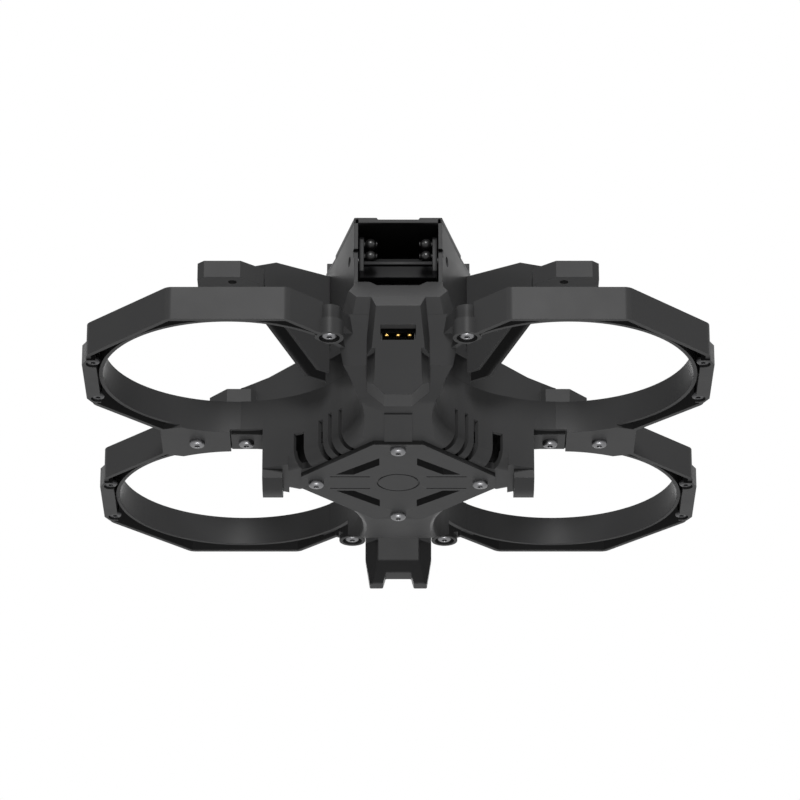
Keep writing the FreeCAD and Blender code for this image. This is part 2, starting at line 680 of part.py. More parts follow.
plate = body("belly_plate")
plate_thick = D.belly_height - D.plate_low
plate_end, plate_side = diamond + D.plate_margin, diamond + D.plate_margin + 0.8
end_flat, side_flat = 6.4, 3.8
pad(plate, "plate", [
    (-end_flat, -plate_end), (end_flat, -plate_end), (plate_side, -side_flat), (plate_side, side_flat),
    (end_flat, plate_end), (-end_flat, plate_end), (-plate_side, side_flat), (-plate_side, -side_flat)],
    plate_thick, start=D.plate_low)
round_pocket(plate, "screw_holes", [(x, y, D.screw_radius + 0.15) for x, y in STACK_PLACES],
             plate_thick, start=D.plate_low)
for i, (sx, sy) in enumerate(CORNERS):
    pocket(plate, f"window_{i + 1}", [(sx * a, sy * b) for a, b in WINDOW], plate_thick,
           start=D.plate_low)

# engraved lines: a bare round field in the middle, and the edges of the cross bar
GROOVE, GROOVE_DEPTH, field_radius = 0.45, 0.4, 5.2
for i, (sx, sy) in enumerate(CORNERS):
    bar_y, bar_in, bar_out = 3.6, 7.4, diamond - 3.6
    pocket(plate, f"bar_line_{i + 1}", [
        (sx * bar_in, sy * bar_y), (sx * bar_out, sy * bar_y), (sx * bar_out, sy * (bar_y + GROOVE)),
        (sx * bar_in, sy * (bar_y + GROOVE))], GROOVE_DEPTH, start=D.plate_low)
ring_sketch = sketch_on(plate, "XY_Plane", "field_ring_sketch")
for i, radius in enumerate((field_radius, field_radius + GROOVE)):
    ring_sketch.addGeometry(Part.Circle(FreeCAD.Vector(), FreeCAD.Vector(0, 0, 1), radius), False)
    ring_sketch.addConstraint(Sketcher.Constraint("Coincident", -1, 1, i, 3))
    ring_sketch.addConstraint(Sketcher.Constraint("Radius", i, radius))
finish_pocket(plate, "field_ring", ring_sketch, GROOVE_DEPTH, D.plate_low, False)


# ---------------------------------------------------------------- upper shell

def shell_plan(inset):
    return [(-D.face_half + inset, -D.face_y), (D.face_half - inset, -D.face_y),
            (D.flank - inset, -D.flank_reach), (D.flank - inset, D.flank_reach),
            (D.rear_half - inset, D.rear_y - inset), (-D.rear_half + inset, D.rear_y - inset),
            (-D.flank + inset, D.flank_reach), (-D.flank + inset, -D.flank_reach)]


shell_outer = cut("shell_outer", extrusion("shell_block", shell_plan(0), guard_top, D.shell_top),
                  duct_rods("shell_bores", D.bore_radius, 0, D.prop_roof))
shell_inner = cut("shell_inner", extrusion("shell_core", shell_plan(D.shell_skin), 0, FAR),
                  duct_rods("shell_cores", D.bore_radius + D.shell_skin, 0,
                            D.prop_roof + D.shell_skin),
                  box("front_keep", -FAR, FAR, -FAR, -D.bay_back, 0, FAR))
bay_room = box("bay_room", -D.bay_half, D.bay_half, -FAR, -D.bay_back - D.shell_skin,
               D.bay_floor, FAR)
front_room = cut("front_room", extrusion("front_core", [
    (-7, -D.face_y + D.shell_skin), (7, -D.face_y + D.shell_skin), (9, -D.bay_back - 1),
    (-9, -D.bay_back - 1)], 0, D.bay_floor - D.shell_skin),
    duct_rods("front_cores", D.bore_radius + D.shell_skin, 0, D.prop_roof + D.shell_skin))
pin_marks = [box(f"pin_mark_{sx}", *in_order(sx * (D.bay_half - 0.5), sx * (D.face_half + 1)),
                 -FAR, -D.face_y + 1.2, D.pivot_height - 1.1, D.pivot_height + 1.1) for sx in (-1, 1)]
pivot_holes = cross_rod("pivot_holes", D.pin_radius + D.fit, -FAR / 2, FAR / 2, -D.pivot_y,
                        D.pivot_height)
battery_wire_hole = box("wire_hole", -5, 5, D.rear_y - 4, D.rear_y + 1, 40, 47)
fascia_room = box("fascia_room", -FAR, FAR, -FAR, -D.face_y + 5, 0, D.bay_floor - D.shell_skin)
shell = cut("upper_shell", shell_outer, shell_inner, bay_room, front_room, pivot_holes,
            battery_wire_hole, fascia_room, *pin_marks)
sub_part(shell, "upper_shell")

fascia_back = -D.face_y + 5 - SEAM
under_bay = D.bay_floor - D.shell_skin


def face_at(height):
    """Where the leaning front face is at a height."""
    return -D.tub_length - (height - D.tub_slope_top) * nose_lean


fascia_side = extrusion("fascia_side", [
    (face_at(guard_top), guard_top), (face_front, lip_low), (lip_front, D.bay_floor),
    (-D.face_y - SEAM, D.bay_floor), (-D.face_y - SEAM, under_bay), (fascia_back, under_bay),
    (fascia_back, guard_top)], -FAR, FAR, along="x")
fascia_plan = extrusion("fascia_plan", [
    (-D.fascia_half, fascia_back), (-D.fascia_half, -D.face_y), (-D.fascia_face_half, face_front),
    (D.fascia_face_half, face_front), (D.fascia_half, -D.face_y), (D.fascia_half, fascia_back)], 0, FAR)
fascia_front_view = extrusion("fascia_front_view", [
    (-D.fascia_half, guard_top), (D.fascia_half, guard_top), (D.face_half, D.bay_floor),
    (-D.face_half, D.bay_floor)], -FAR, FAR, along="y")
fascia_skin = 1.8
fascia_core = extrusion("fascia_core", [
    (face_at(guard_top) + fascia_skin, guard_top - 1), (fascia_back + 1, guard_top - 1),
    (fascia_back + 1, under_bay - fascia_skin), (face_front + fascia_skin * 3, under_bay - fascia_skin),
    (face_front + fascia_skin, lip_low - fascia_skin / 2)], -8, 8, along="x")
lip_corner = 2.0
lip_corners = [common(
    f"lip_corner_{sx}",
    extrusion(f"lip_ramp_{sx}", [(lip_front, D.bay_floor), (-D.face_y - SEAM, D.bay_floor),
                                 (-D.face_y - SEAM, D.bay_floor + lip_corner)], -FAR, FAR, along="x"),
    extrusion(f"lip_gusset_{sx}", [
        (sx * (D.bay_half - 5), D.bay_floor), (sx * D.face_half, D.bay_floor),
        (sx * D.face_half, D.bay_floor + lip_corner + 1), (sx * (D.bay_half - 2), D.bay_floor + lip_corner + 1)],
        -FAR, FAR, along="y")) for sx in (-1, 1)]
fascia_body = common("fascia_body", common("fascia_views", fascia_side, fascia_plan), fascia_front_view)
fascia = cut("front_fascia", fuse("fascia_with_corners", fascia_body, *lip_corners), fascia_core,
             duct_rods("fascia_bores", D.bore_radius, 0, D.prop_roof))
sub_part(fascia, "front_fascia")


# ---------------------------------------------------------------- camera hood

hood = body("camera_hood")
hood_front = -D.face_y
hood_rear = -D.bay_back
flank_at_rear = D.face_half + (D.flank - D.face_half) * (
    (D.face_y - D.bay_back) / (D.face_y - D.flank_reach))
pad(hood, "roof", [(-D.face_half, hood_front), (D.face_half, hood_front),
                   (flank_at_rear, hood_rear), (-flank_at_rear, hood_rear)],
    D.hood_skin, start=D.shell_top)
for i, sx in enumerate((-1, 1)):
    pocket(hood, f"corner_slit_{i + 1}", [
        (sx * (D.face_half - 1.0), hood_front - 1), (sx * (D.face_half - 0.4), hood_front - 1),
        (sx * (D.face_half - 0.4), hood_front + 4), (sx * (D.face_half - 1.0), hood_front + 4)],
        D.hood_skin - 0.5, start=D.shell_top)
dent = 0.5
pocket(hood, "front_dent", [(-D.bay_half + 4.5, D.hood_top + 1), (D.bay_half - 4.5, D.hood_top + 1),
                            (D.bay_half - 5.0, D.hood_top - dent), (-D.bay_half + 5.0, D.hood_top - dent)],
       4.0, role="XZ_Plane", start=D.face_y - 3)


# ---------------------------------------------------------------- arms with motor pods

arm_run = D.duct_y - D.arm_axis
arm_angle = math.degrees(math.atan2(arm_run.number, D.duct_x.number))
pod_reach = math.hypot(D.duct_x.number, arm_run.number)
flank_reach = D.flank / math.cos(math.radians(arm_angle))
pod_top = D.pod_low + D.pod_thick


def arm(label, turn, sx, sy, fall):
    """An arm that lies along +X before it is turned: a web over an open channel, and a pod.

    The pod's long sides face the axes once the arm is turned. The ridge falls on its way out,
    and carries on over the pod.
    """
    owner = doc.addObject("PartDesign::Body", label)
    inner_edge, outer_edge = pod_reach - D.pod_out, pod_reach - 2.5
    root, foot, knee = flank_reach - 3.5, inner_edge + 1.5, inner_edge - 2.4
    crest, tip = pod_top + D.pod_crest, D.arm_top_root - fall
    heel, low = flank_reach + 4.4, guard_top + SEAM
    side = [(root, low), (heel, low), (foot, D.pod_low),
            (outer_edge, D.pod_low), (outer_edge, pod_top), (pod_reach - 0.6, pod_top),
            (pod_reach - 1.6, crest), (inner_edge + 6, crest), (knee, tip), (root, D.arm_top_root)]
    pad(owner, "web", side, D.arm_width, role="XZ_Plane", both_ways=True)
    out, inn = D.pod_out, D.pod_in
    corners = [(-2.1, out), (out - 1.7, out), (out, out - 1.7), (out, -2.1), (4.1, -inn),
               (-2.5, -inn), (-inn, -2.5), (-inn, 4.1)]
    cosine, sine = math.cos(math.radians(turn)), math.sin(math.radians(turn))
    outline = [(pod_reach + a * sx * cosine + b * sy * sine, b * sy * cosine - a * sx * sine)
               for a, b in corners]
    pad(owner, "pod", outline, D.pod_thick, start=D.pod_low)
    skin, roof = D.arm_skin, 2.5
    channel = [(root - 1, low - 3), (heel, low - 3), (foot - skin, D.pod_low - 3),
               (foot - skin, pod_top - roof), (knee, tip - roof), (root - 1, D.arm_top_root - roof)]
    pocket(owner, "channel", channel, D.arm_width - skin * 2, role="XZ_Plane", both_ways=True)
    radius = D.motor_circle / 2
    spots = [(pod_reach + radius * math.cos(math.radians(a)), radius * math.sin(math.radians(a)),
              D.screw_radius + 0.1) for a in (-turn, 90 - turn, 180 - turn, 270 - turn)]
    round_pocket(owner, "motor_holes", spots + [(pod_reach, 0, 2.6)], D.pod_thick, start=D.pod_low)
    return owner


for side_name, turn, sx, sy, fall in (("rear_right", arm_angle, 1, 1, D.rear_fall),
                                      ("rear_left", 180 - arm_angle, -1, 1, D.rear_fall),
                                      ("front_left", 180 + arm_angle, -1, -1, D.front_fall),
                                      ("front_right", -arm_angle, 1, -1, D.front_fall)):
    web_and_pod = place(arm(f"web_and_pod_{side_name}", turn, sx, sy, fall), y=sy * D.arm_axis, turn=turn)
    seat = extrusion(f"arm_seat_{side_name}", shell_plan(0), 0, FAR)
    sub_part(cut(f"arm_{side_name}_cut", web_and_pod, seat), f"arm_{side_name}")


# ---------------------------------------------------------------- nose cover and its port

nose_front = face_front - D.nose_proud
nose_top = lip_low - D.nose_proud        # the nose's top carries on the 45 degree lip
toe_slope = (nose_top - D.nose_low) / (-nose_front - D.nose_toe)
heel_height = D.tub_slope_top - (D.tub_length - D.nose_heel) * (
    (D.tub_slope_top - D.tub_slope_low) / D.tub_slope_run)
nose_side = extrusion("nose_side", [
    (-D.tub_length - SEAM, D.tub_slope_top - SEAM), (face_front - SEAM, lip_low), (nose_front, nose_top),
    (-D.nose_toe, D.nose_low), (-D.nose_heel, D.nose_low), (-D.nose_heel, heel_height - SEAM)],
    -D.nose_half, D.nose_half, along="x")
nose_plan = extrusion("nose_plan", [
    (-D.nose_half, -D.nose_heel), (-D.nose_half, -D.nose_toe), (-D.nose_face_half, nose_front),
    (D.nose_face_half, nose_front), (D.nose_half, -D.nose_toe), (D.nose_half, -D.nose_heel)], 0, FAR)
nose_front_view = extrusion("nose_front_view", [
    (-3.4, D.nose_low), (3.4, D.nose_low), (D.nose_half, D.nose_low + 4), (D.nose_half, FAR),
    (-D.nose_half, FAR), (-D.nose_half, D.nose_low + 4)], -FAR, FAR, along="y")
nose_edges = [extrusion(f"nose_edge_{sx}", [
    (sx * D.nose_face_half, nose_front - 1), (sx * (D.nose_face_half - 0.2), nose_front - 1),
    (sx * (D.nose_face_half + 0.4), -D.nose_toe - 1.6), (sx * D.nose_half, -D.nose_toe + 1.6),
    (sx * (D.nose_half + 1), -D.nose_toe + 1.6), (sx * (D.nose_half + 1), nose_front - 1)],
    0, D.nose_low + 11) for sx in (-1, 1)]
port_front = -D.nose_toe - (D.slot_low - D.nose_low) / toe_slope + 1.6
port_back = -D.tub_length + D.floor_skin + 1.5
slot_cut = box("slot_cut", -D.slot_half, D.slot_half, -FAR, port_front + 1, D.slot_low, D.slot_high)
slot_room = box("slot_room", -D.slot_half - port_room, D.slot_half + port_room, port_front - 0.2,
                -D.tub_length + 1, D.slot_low - 0.8, D.slot_high + 1.2)
nose = cut("nose_cover", common("nose_block", common("nose_views", nose_side, nose_plan), nose_front_view),
           slot_cut, slot_room, *nose_edges)
sub_part(nose, "nose_cover")

port = body("contact_block")
pad(port, "housing", rectangle(-D.slot_half - 0.3, D.slot_half + 0.3, port_front, port_back),
    D.slot_high - D.slot_low + 0.8, start=D.slot_low - 0.4)
pocket(port, "mouth", rectangle(-D.slot_half + 0.5, D.slot_half - 0.5, port_front - 1, port_front + 2.4),
       D.slot_high - D.slot_low - 1.2, start=D.slot_low + 0.3)
pin_pitch = 2.9
sub_part(group("contact_pins", *[
    box(f"contact_{k}", k * pin_pitch - 0.5, k * pin_pitch + 0.5, port_front + 0.3, port_front + 2.4,
        D.slot_high - 1.7, D.slot_high - 0.9) for k in (-1, 0, 1)]), "contact_pins")


# ---------------------------------------------------------------- tail skid

skid = body("tail_skid")
skid_front = D.tub_length + SEAM
skid_rear = D.skid_y + D.skid_thick / 2
skid_face = D.skid_y - D.skid_thick / 2
pad(skid, "leg", [
    (skid_front, D.tub_slope_top + 1), (skid_front, guard_top - 1), (skid_rear - 3, guard_top - 1),
    (skid_rear, guard_top - 4), (skid_rear + 0.6, 1.6), (skid_rear, 0), (skid_face, 0),
    (skid_face - 1.2, 6.4)], D.skid_half * 2, role="YZ_Plane", both_ways=True)
pocket(skid, "notch", [(-D.skid_notch_half, -1), (D.skid_notch_half, -1),
                       (D.skid_notch_half - 1, D.skid_notch), (-D.skid_notch_half + 1, D.skid_notch)],
       2 * FAR, role="XZ_Plane", both_ways=True)
bevel_in, bevel_deep = 3.4, 2.6
for i, sx in enumerate((-1, 1)):
    pocket(skid, f"taper_{i + 1}", [
        (sx * (D.skid_half + 1), -1), (sx * (D.skid_half - 1.4), -1), (sx * D.skid_half, 8),
        (sx * (D.skid_half + 1), 8)], 2 * FAR, role="XZ_Plane", both_ways=True)
    pocket(skid, f"front_bevel_{i + 1}", [
        (sx * (D.skid_half - bevel_in), skid_front + 1), (sx * (D.skid_half - bevel_in), skid_face - 1.2),
        (sx * (D.skid_half + 1), skid_face + bevel_deep), (sx * (D.skid_half + 1), skid_front + 1)],
        D.tub_slope_top + 1.2)
pocket(skid, "hollow", [(skid_front - 1, D.tub_slope_top + 4), (skid_front - 1, guard_top - 3),
                        (skid_rear - 4.5, guard_top - 3), (skid_rear - 2, 9), (skid_rear - 3, 9)],
       (D.skid_half - bevel_in) * 2 - 2, role="YZ_Plane", both_ways=True)


# ---------------------------------------------------------------- electronics

board_low = tub_floor + D.post_height + D.grommet_thick
board_top = board_low + D.board_thick
half_diagonal = D.board_side / math.sqrt(2)
board = body("flight_controller")
clip = 3.0
pad(board, "board", [
    (-clip, -half_diagonal + clip), (clip, -half_diagonal + clip), (half_diagonal - clip, -clip),
    (half_diagonal - clip, clip), (clip, half_diagonal - clip), (-clip, half_diagonal - clip),
    (-half_diagonal + clip, clip), (-half_diagonal + clip, -clip)], D.board_thick, start=board_low)
round_pocket(board, "mount_holes", [(x, y, D.screw_radius + 0.6) for x, y in STACK_PLACES],
             D.board_thick, start=board_low)
pad(board, "chips", rectangle(-7, 7, -7, 7), 1.6, start=board_top)
pad(board, "power_stage", rectangle(-10, 10, 9, 12.5), 1.2, start=board_top)


def ring(name, inner, outer, x, y, z_from, z_to):
    return cut(name, rod(f"{name}_outer", outer, x, y, z_from, z_to),
               rod(f"{name}_inner", inner, x, y, z_from, z_to))


grommets, nuts = [], []
for i, (x, y) in enumerate(STACK_PLACES):
    for level, (low, high) in enumerate(((board_low - D.grommet_thick, board_low),
                                         (board_top, board_top + D.grommet_thick))):
        grommets.append(ring(f"grommet_{i}_{level}", D.screw_radius + 0.1, 2.6, x, y, low, high))
    nut_low = board_top + D.grommet_thick
    nuts.append(cut(f"nut_{i}", prism(f"nut_hex_{i}", 6, 2.0, x, y, nut_low, nut_low + 1.6),
                    rod(f"nut_bore_{i}", D.screw_radius + 0.02, x, y, nut_low, nut_low + 1.6)))
sub_part(group("stack_grommets", *grommets), "stack_grommets")
sub_part(group("stack_nuts", *nuts), "stack_nuts")


# ---------------------------------------------------------------- screws and inserts

def screw(name, x, y, seat, length):
    """A button-head screw from below: its head hangs under the seat height."""
    head = rod(f"{name}_head", D.head_radius, x, y, seat - D.head_thick, seat)
    socket = prism(f"{name}_socket", 6, 0.65, x, y, seat - D.head_thick, seat - D.head_thick + 0.8)
    shank = rod(f"{name}_shank", D.screw_radius, x, y, seat - 0.1, seat + length)
    return cut(name, fuse(f"{name}_solid", head, shank), socket)


def insert(name, x, y, low, high):
    return ring(name, D.screw_radius + 0.02, D.insert_radius - 0.02, x, y, low, high)


stack_length = board_top + D.grommet_thick + 2.2 - D.plate_low
sub_part(group("stack_screws", *[screw(f"stack_screw_{i}", x, y, D.plate_low, stack_length)
                                 for i, (x, y) in enumerate(STACK_PLACES)]), "stack_screws")
clamp_screws, clamp_inserts = [], []
for end, (clamp_x, clamp_y) in CLAMPS.items():
    for sx in (-1, 1):
        x = sx * clamp_x
        clamp_screws.append(screw(f"clamp_screw_{end}_{sx}", x, clamp_y, D.ear_low, lug_top - D.ear_low - 0.2))
        clamp_inserts.append(insert(f"clamp_insert_{end}_{sx}", x, clamp_y, ear_top + 0.2, lug_top))
sub_part(group("clamp_screws", *clamp_screws), "clamp_screws")
sub_part(group("threaded_inserts", *clamp_inserts, *[
    insert(f"bridge_insert_{sx}", sx * D.bridge_screw_x, 0, guard_low + D.tab_skin, guard_low + 5)
    for sx in (-1, 1)]), "threaded_inserts")
sub_part(group("bridge_screws", *[
    screw(f"bridge_screw_{sx}_{i}", sx * x, 0, guard_low, 4.4)
    for sx in (-1, 1) for i, x in enumerate((D.tab_screw_x, D.bridge_screw_x))]), "bridge_screws")
tip_screw_x = D.duct_x + D.guard_apothem - D.guard_skin - 0.4
tip_face = guard_low + tip_seat - 1.0


def tip_screw(name, x, y):
    """A low-headed screw, sunk into the underside of a tip connector."""
    solid = fuse(f"{name}_solid",
                 rod(f"{name}_head", tip_head_radius, x, y, tip_face, guard_low + tip_seat),
                 rod(f"{name}_shank", D.screw_radius, x, y, guard_low + tip_seat - SEAM,
                     guard_low + D.tip_height - 0.4))
    return cut(name, solid, prism(f"{name}_socket", 6, 0.6, x, y, tip_face, tip_face + 0.6))


sub_part(group("tip_screws", *[
    tip_screw(f"tip_screw_{sx}_{sy}_{k}", sx * tip_screw_x, sy * D.duct_y + k * D.tip_screw_y)
    for sx, sy in CORNERS for k in (-1, 1)]), "tip_screws")


# ---------------------------------------------------------------- camera cradle

cradle_half = D.bay_half - D.gap
cradle_skin = 1.2
cradle_front, cradle_back = -D.pivot_y - 3.2, -D.pivot_y + 5.0
cradle = body("camera_cradle")
for i, sx in enumerate((-1, 1)):
    pad(cradle, f"cheek_{i + 1}", [
        (cradle_front, D.pivot_height - 4), (cradle_front + 2, D.pivot_height - 6),
        (cradle_back - 2, D.pivot_height - 6), (cradle_back, D.pivot_height - 4),
        (cradle_back, D.pivot_height + 5), (cradle_front + 1, D.pivot_height + 6),
        (cradle_front, D.pivot_height + 5)], cradle_skin, role="YZ_Plane",
        start=sx * (cradle_half - cradle_skin / 2) - cradle_skin / 2)
    if i == 0:
        pad(cradle, "bar", rectangle(cradle_front + 0.6, cradle_front + 1.8,
                                     D.pivot_height - 2.0, D.pivot_height - 1.0),
            cradle_half * 2 - 0.4, role="YZ_Plane", both_ways=True)
pad(cradle, "saddle", [(cradle_front + 1, D.pivot_height - 5.4), (cradle_back - 1.6, D.pivot_height - 3.4),
                       (cradle_back - 1.6, D.pivot_height + 2.6), (cradle_back, D.pivot_height + 2.6),
                       (cradle_back - 0.2, D.pivot_height - 4.2), (cradle_front + 2, D.pivot_height - 6)],
    cradle_half * 2 - 0.4, role="YZ_Plane", both_ways=True)
pin_out = D.face_half + 0.4
sub_part(group("cradle_pins", *[
    cross_rod(f"cradle_pin_{sx}", D.pin_radius, *in_order(sx * cradle_half, sx * pin_out),
              -D.pivot_y, D.pivot_height) for sx in (-1, 1)]), "cradle_pins")
ball_radius = 1.7
ball_x = cradle_half - cradle_skin - ball_radius + 0.02
balls = []
for sx in (-1, 1):
    for k, rise in enumerate((4.34, 0.92)):
        ball = doc.addObject("Part::Sphere", f"ball_{sx}_{k}")
        bind(ball, "Radius", ball_radius)
        balls.append(place(ball, sx * ball_x, cradle_front + 1.9, D.pivot_height + rise))
sub_part(group("damping_balls", *balls), "damping_balls")


# ---------------------------------------------------------------- battery side

deck_low, deck_top = D.shell_top, D.shell_top + D.deck_skin
deck_front = -D.bay_back + SEAM
deck = body("top_deck")
front_half = flank_at_rear - 0.4
pad(deck, "plate", [
    (-front_half, deck_front), (front_half, deck_front), (D.flank, -D.flank_reach),
    (D.flank, D.flank_reach), (D.rear_half, D.rear_y), (-D.rear_half, D.rear_y),
    (-D.flank, D.flank_reach), (-D.flank, -D.flank_reach)], D.deck_skin, start=deck_low)
rail_half = D.flank - 1.0
for i, sx in enumerate((-1, 1)):
    pad(deck, f"rail_{i + 1}", rectangle(sx * rail_half - 0.8, sx * rail_half + 0.8, -D.flank_reach,
                                         D.flank_reach), D.rail_height, start=deck_top)
latch_half = 6.0
ear_half_gap = latch_half + D.gap
pin_height = deck_top + 2.2
hinge_y = D.latch_y - 5.0
for i, sx in enumerate((-1, 1)):
    pad(deck, f"latch_ear_{i + 1}", [(hinge_y - 1.8, deck_top), (hinge_y + 1.5, deck_top),
                                     (hinge_y + 1.5, pin_height + 1.0), (hinge_y + 0.8, pin_height + 1.8),
                                     (hinge_y - 0.8, pin_height + 1.8), (hinge_y - 1.8, pin_height + 1.0)],
        1.8, role="YZ_Plane", start=sx * (ear_half_gap + 0.9) - 0.9)
pin_hole = sketch_on(deck, "YZ_Plane", "pin_hole_sketch")
pin_hole.addGeometry(Part.Circle(FreeCAD.Vector(hinge_y.number, pin_height.number, 0),
                                 FreeCAD.Vector(0, 0, 1), 1.0), False)
for kind, ends, value in (("DistanceX", (-1, 1, 0, 3), hinge_y), ("DistanceY", (-1, 1, 0, 3), pin_height),
                          ("Radius", (0,), size(1.0))):
    index = pin_hole.addConstraint(Sketcher.Constraint(kind, *ends, value.number))
    pin_hole.setExpression(f"Constraints[{index}]", value.formula)
bore = deck.newObject("PartDesign::Pocket", "pin_hole")
bore.Profile = pin_hole
bore.SideType = "Symmetric"
bind(bore, "Length", FAR)
sub_part(cross_rod("latch_pin", 1.0, -ear_half_gap - 1.8, ear_half_gap + 1.8, hinge_y, pin_height),
         "latch_pin")

latch_arm = extrusion("latch_side", [
    (hinge_y - 1.7, pin_height - 1.0), (hinge_y - 0.6, pin_height - 1.7), (hinge_y + 0.6, pin_height - 1.6),
    (hinge_y + 1.5, pin_height - 0.9), (D.latch_y, pin_height - 0.9), (D.latch_y + 0.4, pin_height),
    (D.latch_y, pin_height + 0.6), (hinge_y + 1.8, pin_height + 0.8), (hinge_y + 0.6, pin_height + 2.6),
    (hinge_y - 1.9, pin_height + 2.6)], -latch_half, latch_half, along="x")
latch = cut("battery_latch", latch_arm, cross_rod("latch_bore", 1.0 + D.fit, -FAR / 2, FAR / 2, hinge_y,
                                                  pin_height))
sub_part(latch, "battery_latch")

cushion = body("battery_pad")
pad(cushion, "foam", rectangle(-11, 11, -18, 30), D.pad_thick, start=deck_top)
power = body("battery_contacts")
pad(power, "housing", rectangle(-8, 8, deck_front + 0.6, deck_front + 5.6), 2.4, start=deck_top)
sub_part(group("battery_blades", *[
    box(f"blade_{k}", k * 3.0 - 0.5, k * 3.0 + 0.5, deck_front + 5.6, deck_front + 7.4, deck_top + 0.6,
        deck_top + 1.8) for k in (-1, 0, 1)]), "battery_blades")


# ---------------------------------------------------------------- checks and files

doc.recompute()
faults = [o.Name for o in doc.Objects if {"Invalid", "Error"} & set(o.State)]
faults += [o.Label for o in SUB_PARTS if o.Shape.isNull() or not o.Shape.isValid()]
if faults:
    raise RuntimeError(f"these objects failed: {faults}")
os.makedirs("parts", exist_ok=True)
for part in SUB_PARTS:
    part.Shape.exportStep(os.path.join("parts", f"{part.Label}.step"))
    print(f"{part.Label:24s} solids {len(part.Shape.Solids)} volume {part.Shape.Volume:9.1f}")
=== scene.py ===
"""Looks of a small ducted racing quadcopter airframe: finishes, screws, soft parts and the studio.

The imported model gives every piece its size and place. Moulded pieces are copied from it and get
rounded edges, the fasteners and soft parts are modelled here, and each finish is procedural.
"""

import json
import logging
import math
from dataclasses import dataclass, field
from enum import Enum
from typing import Callable, Optional, Sequence

import bmesh
import bpy
from mathutils import Matrix, Vector


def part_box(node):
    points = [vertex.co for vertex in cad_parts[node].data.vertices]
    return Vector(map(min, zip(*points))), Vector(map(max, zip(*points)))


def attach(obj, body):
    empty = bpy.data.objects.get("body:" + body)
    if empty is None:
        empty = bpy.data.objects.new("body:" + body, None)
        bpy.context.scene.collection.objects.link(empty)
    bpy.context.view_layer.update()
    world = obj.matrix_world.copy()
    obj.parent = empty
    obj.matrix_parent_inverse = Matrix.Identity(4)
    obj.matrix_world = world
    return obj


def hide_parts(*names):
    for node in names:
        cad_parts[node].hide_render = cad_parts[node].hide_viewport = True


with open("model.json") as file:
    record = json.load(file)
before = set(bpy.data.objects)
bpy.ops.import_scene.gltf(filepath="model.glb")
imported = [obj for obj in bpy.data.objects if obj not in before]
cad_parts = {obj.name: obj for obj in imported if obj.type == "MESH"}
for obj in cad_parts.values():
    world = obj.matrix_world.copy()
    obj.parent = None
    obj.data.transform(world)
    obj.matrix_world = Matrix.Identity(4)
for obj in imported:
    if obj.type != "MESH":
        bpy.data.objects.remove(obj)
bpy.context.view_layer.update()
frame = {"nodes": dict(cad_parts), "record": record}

LOG = logging.getLogger("airframe")
MM = 0.001
WELD = 0.002 * MM                   # points nearer than this are one point
FLAT_ANGLE = math.radians(0.6)      # faces that meet at less than this are one face
EDGE_ANGLE = math.radians(32)       # edges of a moulded piece sharper than this are rounded
MOULDED_SMOOTH = 35                 # degrees between faces that shade as one round surface
EDGE_STEPS = 2                      # steps of a rounded edge
NORMAL_WEIGHT = 80                  # how far large faces set the shading, of 100
LEVEL = 0.9                         # least Z of the normal of a face that looks up
PLACE_DIGITS = 5                    # decimals, in metres, that put solids in a steady order


class Body(Enum):
    """The rigid bodies that a piece can ride on."""

    AIRFRAME = "airframe"
    CAMERA = "camera_mount"
    LATCH = "latch"


# ------------------------------------------------------------------ finishes

NOISE_LOW, NOISE_HIGH = 0.3, 0.7    # a noise seldom leaves this range
COLOUR_DETAIL, GLOSS_DETAIL, GRAIN_DETAIL = 4.0, 6.0, 2.0     # octaves of each noise
GLOSS_SCALE = 0.3                   # the gloss changes over this share of the colour's drift
LEAST_ROUGHNESS = 0.02

MADE_FINISHES: dict[str, bpy.types.Material] = {}


def socket(node: bpy.types.Node, name: str) -> bpy.types.NodeSocket:
    """The input of a node with that name."""
    return node.inputs[name]


